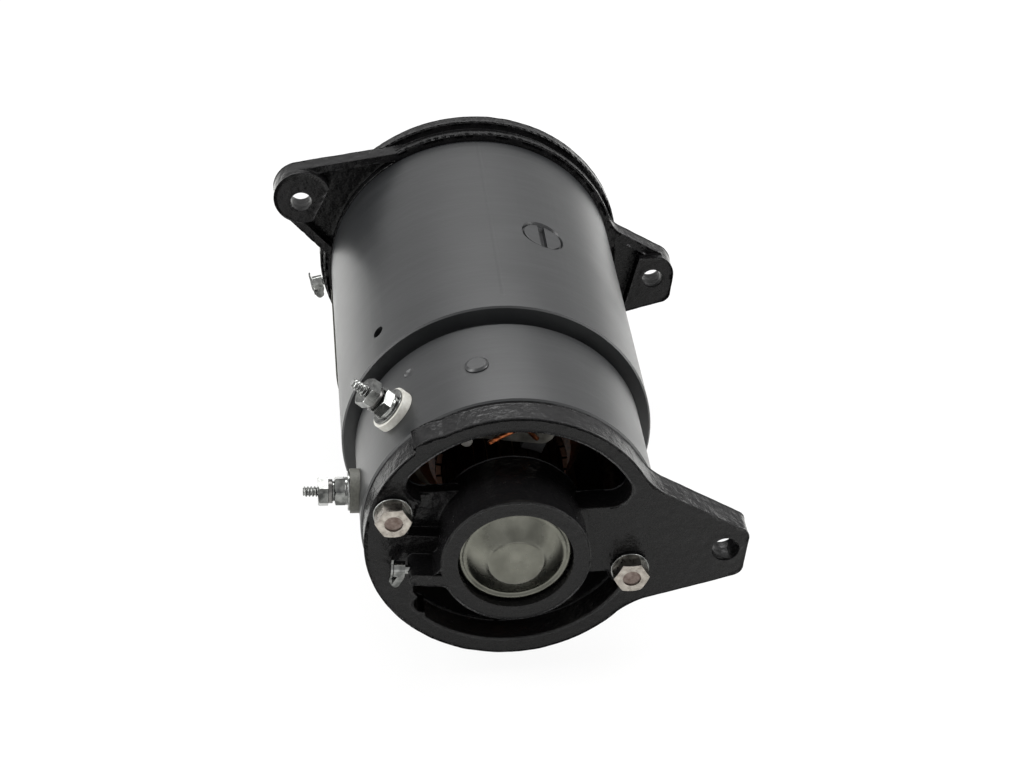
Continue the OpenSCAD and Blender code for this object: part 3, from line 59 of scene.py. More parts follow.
# Camera at the photograph's angle, worked out from the frame's circles
cameraPlace = {
    "lens": 81.42, "sensor": 36.0,
    "location": (-0.06203, -0.85823, 0.50516),
    "right": (0.99544, -0.09531, 0.00378),
    "up": (0.05152, 0.57064, 0.81958),
    "back": (-0.08027, -0.81565, 0.57295),
}
cameraData = bpy.data.cameras.new("camera")
cameraData.lens = cameraPlace["lens"]
cameraData.sensor_width = cameraPlace["sensor"]
cameraObject = bpy.data.objects.new("camera", cameraData)
bpy.context.scene.collection.objects.link(cameraObject)
axes = Matrix((cameraPlace["right"], cameraPlace["up"], cameraPlace["back"])).transposed()
cameraObject.matrix_world = Matrix.Translation(cameraPlace["location"]) @ axes.to_4x4()
bpy.context.scene.camera = cameraObject
bpy.context.scene.view_settings.view_transform = "Standard"
print("camera placed")


# Small helpers

def linearColour(hexText):
    values = [int(hexText[i:i + 2], 16) / 255 for i in (1, 3, 5)]
    return [v / 12.92 if v <= 0.04045 else ((v + 0.055) / 1.055) ** 2.4 for v in values] + [1.0]


def addNode(tree, kind, settings=None, links=None):
    # settings fill properties, sockets or a colour ramp's stops, and links map an input
    # socket to an output socket
    node = tree.nodes.new(kind)
    for key, value in (settings or {}).items():
        if key == "stops":
            for element, (place, hexText) in zip(node.color_ramp.elements, value):
                element.position = place
                element.color = linearColour(hexText)
        elif isinstance(key, str) and hasattr(node, key):
            setattr(node, key, value)
        else:
            node.inputs[key].default_value = value
    for key, source in (links or {}).items():
        tree.links.new(source, node.inputs[key])
    return node


def newMaterial(name):
    material = bpy.data.materials.new(name)
    material.use_nodes = True
    tree = material.node_tree
    tree.nodes.clear()
    return material, tree


mm = 0.001


# Stage and light
stageLook = {
    "floorHex": "#f4f4f2", "floorSize": 6.0, "floorDrop": 0.2 * mm, "whiteShare": 0.9,
    "worldHex": "#ffffff", "worldLight": 0.34, "lampsAimAt": (0.0, -0.13, 0.0),
}
lamps = {
    "leftSoftBox": {"at": (-0.85, -0.3, 0.5), "size": (0.4, 1.1), "watts": 14.0},
    "rightSoftBox": {"at": (0.85, -0.2, 0.45), "size": (0.4, 1.1), "watts": 14.0},
    "topSoftBox": {"at": (0.0, 0.45, 0.95), "size": (0.9, 0.35), "watts": 11.0},
    "frontSoftBox": {"at": (0.1, -1.3, 0.25), "size": (0.8, 0.5), "watts": 1.0},
}
target = Vector(stageLook["lampsAimAt"])
for name, lamp in lamps.items():
    light = bpy.data.lights.new(name, "AREA")
    light.shape = "RECTANGLE"
    light.size, light.size_y = lamp["size"]
    light.energy = lamp["watts"]
    lightObject = bpy.data.objects.new(name, light)
    bpy.context.scene.collection.objects.link(lightObject)
    lightObject.location = lamp["at"]
    lightObject.rotation_euler = (target - Vector(lamp["at"])).to_track_quat("-Z", "Y").to_euler()

world = bpy.data.worlds.new("studio")
bpy.context.scene.world = world
world.use_nodes = True
tree = world.node_tree
tree.nodes.clear()
path = addNode(tree, "ShaderNodeLightPath")
seen = addNode(tree, "ShaderNodeMath", {"operation": "MAXIMUM"},
               {0: path.outputs["Is Camera Ray"], 1: path.outputs["Is Glossy Ray"]})
seenToo = addNode(tree, "ShaderNodeMath", {"operation": "MAXIMUM"},
                  {0: seen.outputs[0], 1: path.outputs["Is Transmission Ray"]})
strength = addNode(tree, "ShaderNodeMapRange", {"To Min": stageLook["worldLight"], "To Max": 1.0},
                   {"Value": seenToo.outputs[0]})
background = addNode(tree, "ShaderNodeBackground", {"Color": linearColour(stageLook["worldHex"])},
                     {"Strength": strength.outputs[0]})
addNode(tree, "ShaderNodeOutputWorld", links={"Surface": background.outputs[0]})

# Matt white paper: shows as white, and keeps a faint contact shadow
paper, tree = newMaterial("mattWhitePaper")
sheetShade = addNode(tree, "ShaderNodeBsdfDiffuse", {"Color": linearColour(stageLook["floorHex"])})
glow = addNode(tree, "ShaderNodeEmission", {"Color": (1, 1, 1, 1), "Strength": 1.0})
path = addNode(tree, "ShaderNodeLightPath")
share = addNode(tree, "ShaderNodeMath", {"operation": "MULTIPLY", 1: stageLook["whiteShare"]},
                {0: path.outputs["Is Camera Ray"]})
both = addNode(tree, "ShaderNodeMixShader",
               links={0: share.outputs[0], 1: sheetShade.outputs[0], 2: glow.outputs[0]})
addNode(tree, "ShaderNodeOutputMaterial", links={"Surface": both.outputs[0]})
half = stageLook["floorSize"] / 2
low = min(corner[2] for corner in cadBox) - stageLook["floorDrop"]
floorMesh = bpy.data.meshes.new("floor")
floorMesh.from_pydata([(-half, -half, low), (half, -half, low), (half, half, low), (-half, half, low)],
                      [], [(0, 1, 2, 3)])
floorMesh.materials.append(paper)
floor = bpy.data.objects.new("floor", floorMesh)
bpy.context.scene.collection.objects.link(floor)
print("stage and lamps ready")


# Materials

# Semi-gloss black enamel sprayed on rolled steel: even black with a fine orange peel, faint
# rubs and a shallow groove where the rolled sheet meets, on the thick part alone
enamel = {
    "hex": "#131415", "dustHex": "#1d1e1f", "dustFrom": 0.45, "dustTo": 0.7,
    "roughness": 0.36, "glossier": 0.06, "duller": 0.1, "cloudMm": 35.714,
    "peelMm": 1.1, "peelHeight": 0.05, "peelStrength": 0.4, "rubMm": 2.2, "rubStretch": 14.0,
    "seamDegrees": 87.0, "seamHalfMm": 0.9, "seamDepth": 0.12, "seamStrength": 0.7,
    "seamEndY": -164.4,
}
blackEnamel, tree = newMaterial("blackEnamelOnRolledSteel")
place = addNode(tree, "ShaderNodeTexCoord").outputs["Object"]
peel = addNode(tree, "ShaderNodeTexNoise", {"Scale": 1 / (enamel["peelMm"] * mm), "Detail": 2.0},
               {"Vector": place})
cloud = addNode(tree, "ShaderNodeTexNoise", {"Scale": 1 / (enamel["cloudMm"] * mm), "Detail": 3.0},
                {"Vector": place})
drawn = addNode(tree, "ShaderNodeMapping", {"Scale": (1.0, enamel["rubStretch"], 1.0)},
                {"Vector": place})
rubs = addNode(tree, "ShaderNodeTexNoise",
               {"Scale": 1 / (enamel["rubMm"] * enamel["rubStretch"] * mm), "Detail": 5.0,
                "Roughness": 0.65},
               {"Vector": drawn.outputs[0]})
split = addNode(tree, "ShaderNodeSeparateXYZ", links={"Vector": place})
seamAt = math.radians(enamel["seamDegrees"])
away = addNode(tree, "ShaderNodeMath", {"operation": "MULTIPLY", 1: math.sin(seamAt)},
               {0: split.outputs["X"]})
across = addNode(tree, "ShaderNodeMath", {"operation": "MULTIPLY_ADD", 1: -math.cos(seamAt)},
                 {0: split.outputs["Z"], 2: away.outputs[0]})
offSeam = addNode(tree, "ShaderNodeMath", {"operation": "ABSOLUTE"}, {0: across.outputs[0]})
groove = addNode(tree, "ShaderNodeMapRange", {"From Max": enamel["seamHalfMm"] * mm},
                 {"Value": offSeam.outputs[0]})
onSmallEnd = addNode(tree, "ShaderNodeMath", {"operation": "LESS_THAN", 1: enamel["seamEndY"] * mm},
                     {0: split.outputs["Y"]})
seamHeight = addNode(tree, "ShaderNodeMath", {"operation": "MAXIMUM"},
                     {0: groove.outputs[0], 1: onSmallEnd.outputs[0]})
shine = addNode(tree, "ShaderNodeMapRange", {"To Min": enamel["roughness"] - enamel["glossier"],
                                             "To Max": enamel["roughness"] + enamel["duller"]},
                {"Value": cloud.outputs["Fac"]})
tone = addNode(tree, "ShaderNodeValToRGB", {"stops": [(enamel["dustFrom"], enamel["hex"]),
                                                      (enamel["dustTo"], enamel["dustHex"])]},
               {"Fac": rubs.outputs["Fac"]})
seam = addNode(tree, "ShaderNodeBump",
               {"Strength": enamel["seamStrength"], "Distance": enamel["seamDepth"] * mm},
               {"Height": seamHeight.outputs[0]})
bump = addNode(tree, "ShaderNodeBump",
               {"Strength": enamel["peelStrength"], "Distance": enamel["peelHeight"] * mm},
               {"Height": peel.outputs["Fac"], "Normal": seam.outputs[0]})
paint = addNode(tree, "ShaderNodeBsdfPrincipled", {"IOR": 1.5, "Specular IOR Level": 0.42},
                {"Base Color": tone.outputs["Color"], "Roughness": shine.outputs[0],
                 "Normal": bump.outputs[0]})
addNode(tree, "ShaderNodeOutputMaterial", links={"Surface": paint.outputs[0]})

# Gloss black paint over sand-cast iron: soft pits and lumps under an even deep black, a
# little paler on the high grains
casting = {
    "hex": "#0b0b0c", "paleHex": "#141313", "paleFrom": 0.4, "paleTo": 0.75,
    "roughness": 0.2, "glossier": 0.05, "duller": 0.12,
    "grainMm": 0.8, "grainHeight": 0.14, "grainStrength": 0.6,
    "lumpMm": 2.8, "lumpHeight": 0.45, "lumpStrength": 0.8,
}
blackCasting, tree = newMaterial("blackPaintOnCastIron")
place = addNode(tree, "ShaderNodeTexCoord").outputs["Object"]
grain = addNode(tree, "ShaderNodeTexNoise", {"Scale": 1 / (casting["grainMm"] * mm), "Detail": 3.0,
                                             "Roughness": 0.6}, {"Vector": place})
lumps = addNode(tree, "ShaderNodeTexNoise", {"Scale": 1 / (casting["lumpMm"] * mm), "Detail": 2.0},
                {"Vector": place})
lumpBump = addNode(tree, "ShaderNodeBump",
                   {"Strength": casting["lumpStrength"], "Distance": casting["lumpHeight"] * mm},
                   {"Height": lumps.outputs["Fac"]})
grainBump = addNode(tree, "ShaderNodeBump",
                    {"Strength": casting["grainStrength"], "Distance": casting["grainHeight"] * mm},
                    {"Height": grain.outputs["Fac"], "Normal": lumpBump.outputs[0]})
tone = addNode(tree, "ShaderNodeValToRGB", {"stops": [(casting["paleFrom"], casting["hex"]),
                                                      (casting["paleTo"], casting["paleHex"])]},
               {"Fac": grain.outputs["Fac"]})
shine = addNode(tree, "ShaderNodeMapRange", {"To Min": casting["roughness"] - casting["glossier"],
                                             "To Max": casting["roughness"] + casting["duller"]},
                {"Value": lumps.outputs["Fac"]})
paint = addNode(tree, "ShaderNodeBsdfPrincipled", {"IOR": 1.5, "Specular IOR Level": 0.14},
                {"Base Color": tone.outputs["Color"], "Roughness": shine.outputs[0],
                 "Normal": grainBump.outputs[0]})
addNode(tree, "ShaderNodeOutputMaterial", links={"Surface": paint.outputs[0]})

# What all the metals share: the cloud's dark and light ends, how far it changes the shine,
# and how strongly the grain shows
metalCloud = {"darkAt": 0.35, "lightAt": 0.65, "glossier": 0.8, "duller": 1.3, "grainStrength": 0.3}


def metalMaterial(name, look):
    # One metal, with soft cloudiness in its shine and a fine surface grain
    material, tree = newMaterial(name)
    place = addNode(tree, "ShaderNodeTexCoord").outputs["Object"]
    cloud = addNode(tree, "ShaderNodeTexNoise", {"Scale": 1 / (look["cloudMm"] * mm), "Detail": 4.0},
                    {"Vector": place})
    tone = addNode(tree, "ShaderNodeValToRGB", {"stops": [(metalCloud["darkAt"], look["darkHex"]),
                                                          (metalCloud["lightAt"], look["hex"])]},
                   {"Fac": cloud.outputs["Fac"]})
    shine = addNode(tree, "ShaderNodeMapRange", {"To Min": look["roughness"] * metalCloud["glossier"],
                                                 "To Max": look["roughness"] * metalCloud["duller"]},
                    {"Value": cloud.outputs["Fac"]})
    grain = addNode(tree, "ShaderNodeTexNoise", {"Scale": 1 / (look["grainMm"] * mm), "Detail": 2.0},
                    {"Vector": place})
    bump = addNode(tree, "ShaderNodeBump",
                   {"Strength": metalCloud["grainStrength"], "Distance": look["grainHeight"] * mm},
                   {"Height": grain.outputs["Fac"]})
    metal = addNode(tree, "ShaderNodeBsdfPrincipled", {"Metallic": 1.0},
                    {"Base Color": tone.outputs["Color"], "Roughness": shine.outputs[0],
                     "Normal": bump.outputs[0]})
    addNode(tree, "ShaderNodeOutputMaterial", links={"Surface": metal.outputs[0]})
    return material


# Bright zinc plate: cool silver with a soft, slightly cloudy shine
zincPlate = metalMaterial("brightZincPlate", {
    "hex": "#7b7c7a", "darkHex": "#474847", "roughness": 0.15,
    "cloudMm": 3.0, "grainMm": 0.4, "grainHeight": 0.02})
# Plain pressed steel gone slightly brown with age: grey with warm patches
pressedSteel = metalMaterial("agedPressedSteel", {
    "hex": "#8d877b", "darkHex": "#6a6154", "roughness": 0.42,
    "cloudMm": 7.0, "grainMm": 0.7, "grainHeight": 0.05})
# Turned steel: bright and clean
turnedSteel = metalMaterial("turnedSteel", {
    "hex": "#b5b3ae", "darkHex": "#918e88", "roughness": 0.28,
    "cloudMm": 6.0, "grainMm": 0.5, "grainHeight": 0.02})
# Warm dull plate on the bolts
boltSteel = metalMaterial("dullPlatedSteel", {
    "hex": "#98938c", "darkHex": "#736e68", "roughness": 0.27,
    "cloudMm": 2.5, "grainMm": 0.4, "grainHeight": 0.03})
# Bolt rod gone brown: dark red-grey with dull patches
brownedRod = metalMaterial("brownedBoltRod", {
    "hex": "#6b615c", "darkHex": "#50443f", "roughness": 0.4,
    "cloudMm": 1.8, "grainMm": 0.4, "grainHeight": 0.04})
# Drawn copper: warm red metal
drawnCopper = metalMaterial("drawnCopper", {
    "hex": "#a9643f", "darkHex": "#7d4529", "roughness": 0.36,
    "cloudMm": 4.0, "grainMm": 0.4, "grainHeight": 0.03})
# Deep-drawn steel cap, dull grey-green with age: soft even shine, faint patches
plugSteel = metalMaterial("agedDrawnSteel", {
    "hex": "#63635c", "darkHex": "#50504a", "roughness": 0.26,
    "cloudMm": 9.0, "grainMm": 0.6, "grainHeight": 0.03})
# Plated sheet steel gone dull inside the frame: mid grey
platedSheet = metalMaterial("dullPlatedSheet", {
    "hex": "#85837d", "darkHex": "#5f5d58", "roughness": 0.4,
    "cloudMm": 4.0, "grainMm": 0.5, "grainHeight": 0.03})
# Hardened spring steel, left black: dark with a low shine
darkWasher = metalMaterial("blackedSpringSteel", {
    "hex": "#6d6c6a", "darkHex": "#4a4948", "roughness": 0.3,
    "cloudMm": 2.0, "grainMm": 0.4, "grainHeight": 0.02})
# Commutator copper worn by the brushes: dark brown film over copper
usedCopper = metalMaterial("filmedCommutatorCopper", {
    "hex": "#3d2b23", "darkHex": "#281b15", "roughness": 0.38,
    "cloudMm": 5.0, "grainMm": 0.4, "grainHeight": 0.02})
# Varnished sheet steel: dark grey metal under a thin brown varnish
coreSteel = metalMaterial("varnishedSheetSteel", {
    "hex": "#4a4642", "darkHex": "#2f2c2a", "roughness": 0.45,
    "cloudMm": 5.0, "grainMm": 0.5, "grainHeight": 0.04})

# What the others share: the mottle's dark and light ends, and how strongly it shows
plainMottle = {"darkAt": 0.3, "lightAt": 0.7, "strength": 0.4}


def plainMaterial(name, look):
    # A non-metal with a mottled colour and a grain
    material, tree = newMaterial(name)
    place = addNode(tree, "ShaderNodeTexCoord").outputs["Object"]
    mottle = addNode(tree, "ShaderNodeTexNoise", {"Scale": 1 / (look["mottleMm"] * mm), "Detail": 4.0},
                     {"Vector": place})
    tone = addNode(tree, "ShaderNodeValToRGB", {"stops": [(plainMottle["darkAt"], look["darkHex"]),
                                                          (plainMottle["lightAt"], look["hex"])]},
                   {"Fac": mottle.outputs["Fac"]})
    bump = addNode(tree, "ShaderNodeBump",
                   {"Strength": plainMottle["strength"], "Distance": look["grainHeight"] * mm},
                   {"Height": mottle.outputs["Fac"]})
    body = addNode(tree, "ShaderNodeBsdfPrincipled",
                   {"Roughness": look["roughness"], "IOR": look["ior"]},
                   {"Base Color": tone.outputs["Color"], "Normal": bump.outputs[0]})
    addNode(tree, "ShaderNodeOutputMaterial", links={"Surface": body.outputs[0]})
    return material


# Moulded phenolic, light grey: smooth with a slight mottle
greyPhenolic = plainMaterial("mouldedGreyPhenolic", {
    "hex": "#bdbcb6", "darkHex": "#a8a69e", "roughness": 0.45,
    "ior": 1.55, "mottleMm": 1.5, "grainHeight": 0.03})
# The same moulding gone dull and dirty with use: grey-olive
dirtyPhenolic = plainMaterial("dirtyGreyPhenolic", {
    "hex": "#4c4c45", "darkHex": "#393933", "roughness": 0.6,
    "ior": 1.55, "mottleMm": 0.8, "grainHeight": 0.08})
# Pressed carbon brush: dull near-black
pressedCarbon = plainMaterial("pressedCarbon", {
    "hex": "#2c2c2d", "darkHex": "#1c1c1d", "roughness": 0.6,
    "ior": 1.6, "mottleMm": 0.8, "grainHeight": 0.03})
# Cotton tape soaked in varnish: brown, slightly glossy
varnishedTape = plainMaterial("varnishedCottonTape", {
    "hex": "#7d5532", "darkHex": "#543519", "roughness": 0.5,
    "ior": 1.5, "mottleMm": 1.2, "grainHeight": 0.1})
# Mica and shellac: dark amber
shellacMica = plainMaterial("shellacMica", {
    "hex": "#5a3b22", "darkHex": "#3c2614", "roughness": 0.4,
    "ior": 1.56, "mottleMm": 1.0, "grainHeight": 0.02})
# Braided cotton over rubber: faded red
wireCover = plainMaterial("redWireCover", {
    "hex": "#8c2f24", "darkHex": "#5e1c15", "roughness": 0.65,
    "ior": 1.5, "mottleMm": 0.8, "grainHeight": 0.08})
# Enamelled copper wire under varnish: dark orange-brown, glossy and slightly bumpy
varnishedWire = plainMaterial("varnishedCopperWire", {
    "hex": "#6b3a1e", "darkHex": "#3f2010", "roughness": 0.35,
    "ior": 1.5, "mottleMm": 0.9, "grainHeight": 0.12})
# Oiled felt: dull tan
oiledFelt = plainMaterial("oiledFelt", {
    "hex": "#8f836d", "darkHex": "#6b604d", "roughness": 0.95,
    "ior": 1.45, "mottleMm": 0.7, "grainHeight": 0.15})
# Lacquered plate, left blank: dark olive with a low sheen
lacqueredPlate = plainMaterial("lacqueredPlate", {
    "hex": "#35352b", "darkHex": "#28281f", "roughness": 0.4,
    "ior": 1.5, "mottleMm": 3.0, "grainHeight": 0.02})
print("materials ready")


def dress(material, *names):
    for name in names:
        mesh = nodes[name].data
        mesh.materials.clear()
        mesh.materials.append(material)


def addPiece(name, mesh, body, material, *replaced):
    piece = bpy.data.objects.new(name, mesh)
    bpy.context.scene.collection.objects.link(piece)
    mesh.materials.clear()
    mesh.materials.append(material)
    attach(piece, body)
    if replaced:
        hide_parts(*replaced)
    return piece


creaseDegrees = 50


def smoothSkin(mesh):
    # Shades a mesh smooth, with a crease where two faces meet sharply
    for polygon in mesh.polygons:
        polygon.use_smooth = True
    mesh.set_sharp_from_angle(angle=math.radians(creaseDegrees))


def castSkin(form, skin):
    # Sinks the surface unevenly, as a sand mould leaves it, and leaves machined bores alone
    bmesh.ops.triangulate(form, faces=form.faces)
    for _ in range(skin["rounds"]):
        longEdges = [e for e in form.edges if e.calc_length() > skin["edgeMm"] * mm]
        if not longEdges:
            break
        bmesh.ops.subdivide_edges(form, edges=longEdges, cuts=1)
        bmesh.ops.triangulate(form, faces=[f for f in form.faces if len(f.verts) > 3])
    form.normal_update()
    moves = []
    for vertex in form.verts:
        x, z = vertex.co.x / mm, vertex.co.z / mm
        if any(math.hypot(x - atX, z - atZ) < r for atX, atZ, r in skin["machined"]):
            continue
        sink = 0.0
        for spotMm, depthMm in skin["spots"]:
            sink += depthMm * (0.5 + 0.5 * noise.noise(vertex.co / (spotMm * mm)))
        moves.append((vertex, vertex.normal * sink * mm))
    for vertex, move in moves:
        vertex.co -= move


softening = {"weldMm": 0.002, "flatDegrees": 0.6, "sharpDegrees": 32}


def softenedMesh(solid, roundMm, steps, skin):
    # A copy of a solid's surface with its sharp edges rounded, as casting, pressing or
    # plating leaves them
    mesh = solid.data.copy()
    form = bmesh.new()
    form.from_mesh(mesh)
    bmesh.ops.remove_doubles(form, verts=form.verts, dist=softening["weldMm"] * mm)
    bmesh.ops.dissolve_limit(form, angle_limit=math.radians(softening["flatDegrees"]),
                             verts=form.verts, edges=form.edges)
    sharp = [e for e in form.edges if len(e.link_faces) == 2
             and e.calc_face_angle(0) > math.radians(softening["sharpDegrees"])]
    bmesh.ops.bevel(form, geom=sharp, offset=roundMm * mm, segments=steps, profile=0.5,
                    affect="EDGES", clamp_overlap=True)
    if skin:
        castSkin(form, skin)
    form.to_mesh(mesh)
    form.free()
    smoothSkin(mesh)
    return mesh


ridesOn = {name: body for body, names in frame["record"]["behaviour"]["bodies"].items()
           for name in names}


def roundEdges(material, roundMm, *names, steps=2, skin=None):
    # One softened copy for each solid, named after it
    for name in names:
        words = name.split("_")
        pieceName = words[0] + "".join(word.capitalize() for word in words[1:]) + "Finished"
        piece = addPiece(pieceName, softenedMesh(nodes[name], roundMm, steps, skin), ridesOn[name],
                         material, name)
        if not skin:
            # Flat faces stay flat and only the rounded edges turn the light
            even = piece.modifiers.new("evenFaces", "WEIGHTED_NORMAL")
            even.weight = 100
            even.keep_sharp = True


# Castings and the rolled frame. Machined places are x, z and radius in mm, and spots are the
# sand's size and depth in mm
bearingBore = (0, 0, 21)
boltSeats = [(-41.3, 15.1, 7.2), (41.3, -15.1, 7.2)]
sandSkin = {"edgeMm": 2.4, "rounds": 6, "spots": [(5.0, 0.3), (1.9, 0.16)]}
roundEdges(blackCasting, 0.9, "commutator_end_frame", steps=3,
           skin={**sandSkin, "machined": [bearingBore, *boltSeats, (75.4, -9.8, 5.6)]})
roundEdges(blackCasting, 0.8, "drive_end_frame",
           skin={**sandSkin, "machined": [bearingBore, *boltSeats, (75.4, -9.8, 5), (-67.9, 34.1, 5)]})
roundEdges(blackEnamel, 0.5, "field_frame")
roundEdges(blackEnamel, 0.4, "pole_screws", "bracket_rivets")
print("castings and frame softened")

# Pressed and turned steel
roundEdges(pressedSteel, 0.3, "bearing_retainer")
roundEdges(pressedSteel, 0.6, "upper_pole_shoe", "lower_pole_shoe")
roundEdges(turnedSteel, 0.3, "ce_bearing_outer_race", "ce_bearing_inner_race", "de_bearing_outer_race",
           "de_bearing_inner_race", "armature_shaft", "shaft_collar")
roundEdges(turnedSteel, 0.2, "shaft_snap_ring", "pivot_pins", "locating_dowel")
dress(turnedSteel, "ce_bearing_balls", "de_bearing_balls", "upper_brush_spring", "lower_brush_spring")
print("steel pieces finished")

# Small fittings
roundEdges(zincPlate, 0.3, "through_bolt_washers", "retainer_screws")
roundEdges(zincPlate, 0.35, "terminal_nuts", steps=3)
roundEdges(darkWasher, 0.15, "terminal_lock_washers")
roundEdges(zincPlate, 0.15, "terminal_washers")
dress(zincPlate, "ce_oiler", "de_oiler", "ce_oiler_lid", "de_oiler_lid")
roundEdges(boltSteel, 0.45, "through_bolt_nuts", steps=3)
roundEdges(brownedRod, 0.4, "through_bolts", steps=3)
roundEdges(greyPhenolic, 0.5, "armature_insulator", steps=3)
roundEdges(dirtyPhenolic, 0.5, "field_insulator", steps=3)
print("fittings finished")

# Brush gear, armature and coils
roundEdges(platedSheet, 0.2, "upper_brush_bracket", "lower_brush_bracket", "upper_brush_arm",
           "lower_brush_arm")
roundEdges(pressedCarbon, 0.3, "upper_brush", "lower_brush")
roundEdges(usedCopper, 0.15, "commutator_bars")
roundEdges(shellacMica, 0.1, "commutator_insulation")
roundEdges(coreSteel, 0.2, "armature_core")
roundEdges(varnishedTape, 1.0, "upper_field_coil", "lower_field_coil", steps=3)
roundEdges(varnishedWire, 0.6, "armature_windings", steps=3)
roundEdges(oiledFelt, 0.3, "felt_seal")
roundEdges(lacqueredPlate, 0.2, "name_plate")
dress(wireCover, "armature_lead", "field_lead")
print("inner pieces finished")


def sweptMesh(name, rings):
    # Joins rings of points, one after another, into one smooth skin with closed ends
    count = len(rings[0])
    faces = [(r * count + i, r * count + (i + 1) % count, (r + 1) * count + (i + 1) % count,
              (r + 1) * count + i) for r in range(len(rings) - 1) for i in range(count)]
    faces += [tuple(reversed(range(count))), tuple((len(rings) - 1) * count + i for i in range(count))]
    mesh = bpy.data.meshes.new(name)
    mesh.from_pydata([point for ring in rings for point in ring], [], faces)
    smoothSkin(mesh)
    return mesh


tinyMm = 0.001  # the points on the axis run together within this


def turnedMesh(name, profile, sides):
    # A closed profile of radius and place along the shaft in mm, turned round the shaft
    count = len(profile)
    turns = [2 * math.pi * i / sides for i in range(sides)]
    points = [(r * math.cos(turn) * mm, y * mm, r * math.sin(turn) * mm)
              for turn in turns for r, y in profile]
    faces = [(i * count + j, (i + 1) % sides * count + j, (i + 1) % sides * count + (j + 1) % count,
              i * count + (j + 1) % count) for i in range(sides) for j in range(count)]
    mesh = bpy.data.meshes.new(name)
    mesh.from_pydata(points, [], faces)
    form = bmesh.new()
    form.from_mesh(mesh)
    bmesh.ops.remove_doubles(form, verts=form.verts, dist=tinyMm * mm)
    bmesh.ops.dissolve_degenerate(form, edges=form.edges, dist=tinyMm * mm)
    bmesh.ops.recalc_face_normals(form, faces=form.faces)
    form.to_mesh(mesh)
    form.free()
    smoothSkin(mesh)
    return mesh


# The drawn cap over the bearing: rolled lip, wide slope and flat raised crown, as radius and
# distance from the hub's face in mm
plug = {
    "faceY": -241.8, "sides": 96,
    "outside": [(0, -4.5), (4, -4.5), (8.2, -4.47), (8.9, -4.38), (9.4, -4.15), (9.8, -3.75),
                (10.3, -3.2), (11.0, -2.65), (12.2, -1.8), (13.6, -0.85), (15.2, 0.0), (16.4, 0.6),
                (17.2, 0.88), (17.7, 0.82), (18.05, 0.5), (18.35, 0.16), (18.7, 0.02), (19.1, 0.04),
                (19.5, 0.22), (19.8, 0.55), (19.96, 0.95), (19.96, 2.6)],
    "inside": [(18.8, 2.6), (18.8, 2.1), (17.4, 2.1), (13.4, 0.5), (11.0, -1.1), (9.4, -2.7),
               (8.6, -3.3), (0, -3.3)],
}
plugProfile = [(r, plug["faceY"] + y) for r, y in plug["outside"] + plug["inside"]]
addPiece("bearingPlugDrawn", turnedMesh("bearingPlugDrawn", plugProfile, plug["sides"]), "frame",
         plugSteel, "bearing_plug")
print("bearing plug drawn")


def sideways(along):
    # Two directions square to a line, taken from y, or from x where the line nearly follows y
    first = along.cross(Vector((0.0, 1.0, 0.0)) if abs(along.y) < 0.9 else Vector((1.0, 0.0, 0.0)))
    first.normalize()
    return first, along.cross(first)


threadForm = {"flank": 1.6, "rootShare": 0.3}  # straight flanks between flat roots and crests


def screwThread(name, body, material, look):
    # A rolled screw thread: the skin's radius follows the thread's flanks round the rod
    start = Vector(look["start"]) * mm
    along = Vector(look["along"]).normalized()
    first, second = sideways(along)
    rows = int(look["length"] / look["pitch"] * look["rowsPerTurn"])
    rings = []
    for row in range(rows + 1):
        reach = look["length"] * row / rows
        fade = min(1.0, (look["length"] - reach) / look["chamfer"], reach / look["chamfer"])
        ring = []
        for step in range(look["sides"]):
            turn = step / look["sides"]
            phase = (reach / look["pitch"] - turn) % 1.0
            rise = threadForm["flank"] * (1.0 - abs(2.0 * phase - 1.0)) - threadForm["rootShare"]
            height = min(1.0, max(0.0, rise)) * max(0.0, fade)
            radius = look["root"] + (look["crest"] - look["root"]) * height
            angle = 2 * math.pi * turn
            ring.append(start + along * reach * mm
                        + (first * math.cos(angle) + second * math.sin(angle)) * radius * mm)
        rings.append(ring)
    return addPiece(name, sweptMesh(name, rings), body, material)


def aroundShaft(radius, degrees, y):
    # A point at a radius and angle round the shaft, in millimetres
    angle = math.radians(degrees)
    return Vector((radius * math.cos(angle), y, radius * math.sin(angle)))


# Terminal studs: a smooth shank through the nuts with a head inside, and a screwed free end.
# Each place is degrees round the shaft and y in mm. The real thread is finer and wouldn't show
stud = {
    "turning": [(0, 42.5), (4.5, 42.5), (4.83, 42.8), (4.83, 44.9), (4.5, 45.2), (2.415, 45.2),
                (2.415, 66.5), (2.2, 66.72), (1.6, 66.72), (0, 66.72)],
    "sides": 40, "threadFrom": 66.5,
    "places": (("armatureStud", "armature_stud", 137.0, -203.1),
               ("fieldStud", "field_stud", 177.4, -203.4)),
}
studThread = {"length": 5.5, "crest": 1.9, "root": 1.35, "pitch": 1.2, "chamfer": 0.5,
              "rowsPerTurn": 8, "sides": 28}
for name, node, degrees, y in stud["places"]:
    shank = turnedMesh(name + "Shank", stud["turning"], stud["sides"])
    outward = aroundShaft(1, degrees, 0)
    first, second = sideways(outward)
    shank.transform(Matrix.Translation((0, y * mm, 0))
                    @ Matrix((first, outward, first.cross(outward))).transposed().to_4x4())
    addPiece(name + "Shank", shank, "frame", zincPlate, node)
    screwThread(name + "Thread", "frame", zincPlate,
                {**studThread, "start": aroundShaft(stud["threadFrom"], degrees, y), "along": outward})

shaftEnd = {"start": (0, 13.4, 0), "along": (0, 1, 0), "length": 16.2, "crest": 6.8, "root": 6.37,
            "pitch": 1.27, "chamfer": 0.9, "rowsPerTurn": 8, "sides": 48}
screwThread("shaftThread", "armature", turnedSteel, shaftEnd)
print("screw threads cut")


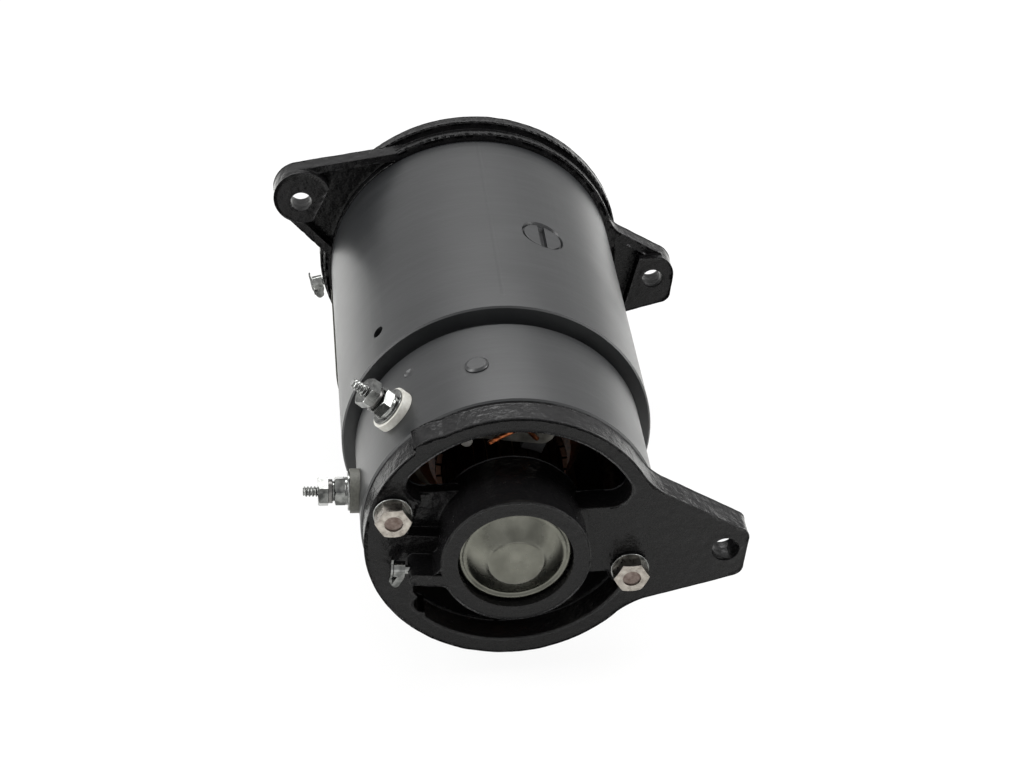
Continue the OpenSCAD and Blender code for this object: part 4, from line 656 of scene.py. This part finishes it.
def smoothRoute(points, perSpan):
    # A Catmull-Rom curve through the points
    ends = [points[0] * 2 - points[1]] + points + [points[-1] * 2 - points[-2]]
    route = []
    for i in range(1, len(ends) - 2):
        p0, p1, p2, p3 = ends[i - 1:i + 3]
        for step in range(perSpan):
            t = step / perSpan
            route.append(0.5 * (2 * p1 + (p2 - p0) * t + (2 * p0 - 5 * p1 + 4 * p2 - p3) * t * t
                                + (3 * p1 - p0 - 3 * p2 + p3) * t ** 3))
    return route + [points[-1]]


def wireMesh(name, points, look):
    # A wire on a smooth route, its skin shaped by the lay of its strands
    route = smoothRoute([point * mm for point in points], look["perSpan"])
    first = sideways((route[1] - route[0]).normalized())[0]
    rings = []
    length = 0.0
    for i, point in enumerate(route):
        ahead = (route[min(i + 1, len(route) - 1)] - route[max(i - 1, 0)]).normalized()
        first = (first - ahead * first.dot(ahead)).normalized()
        second = ahead.cross(first)
        if i:
            length += (point - route[i - 1]).length / mm
        ring = []
        for step in range(look["sides"]):
            angle = 2 * math.pi * step / look["sides"]
            twist = 2 * math.pi * length / look["lay"]
            swell = math.cos(look["strands"] * angle - twist)
            radius = look["radius"] * (1 + look["depth"] * (swell - 1)) * mm
            ring.append(point + (first * math.cos(angle) + second * math.sin(angle)) * radius)
        rings.append(ring)
    return sweptMesh(name, rings)


# Twisted copper pigtails, on the routes of their solids. A route's point is mm outward from
# the brush's foot, degrees past the pole and mm out from the arm's end
pigtail = {
    "radius": 0.9, "depth": 0.14, "strands": 6, "lay": 2.4, "sides": 30, "perSpan": 18,
    "bracketY": -200.2, "armEnd": 10.42, "clearRadii": 1.4, "footRadius": 22.3, "poleDegrees": 67,
    "route": ((7, 2, 0), (13.5, 16, 5), (10.5, 34, 7), (6, 30, 0)),
}
side = pigtail["bracketY"] - pigtail["armEnd"] - pigtail["clearRadii"] * pigtail["radius"]
for name, node, turn in (("upperPigtailTwisted", "upper_pigtail", 0),
                         ("lowerPigtailTwisted", "lower_pigtail", 180)):
    points = [aroundShaft(pigtail["footRadius"] + reach, pigtail["poleDegrees"] + degrees + turn,
                          side - out)
              for reach, degrees, out in pigtail["route"]]
    addPiece(name, wireMesh(name, points, pigtail), ridesOn[node], drawnCopper, node)
print("wires laid")
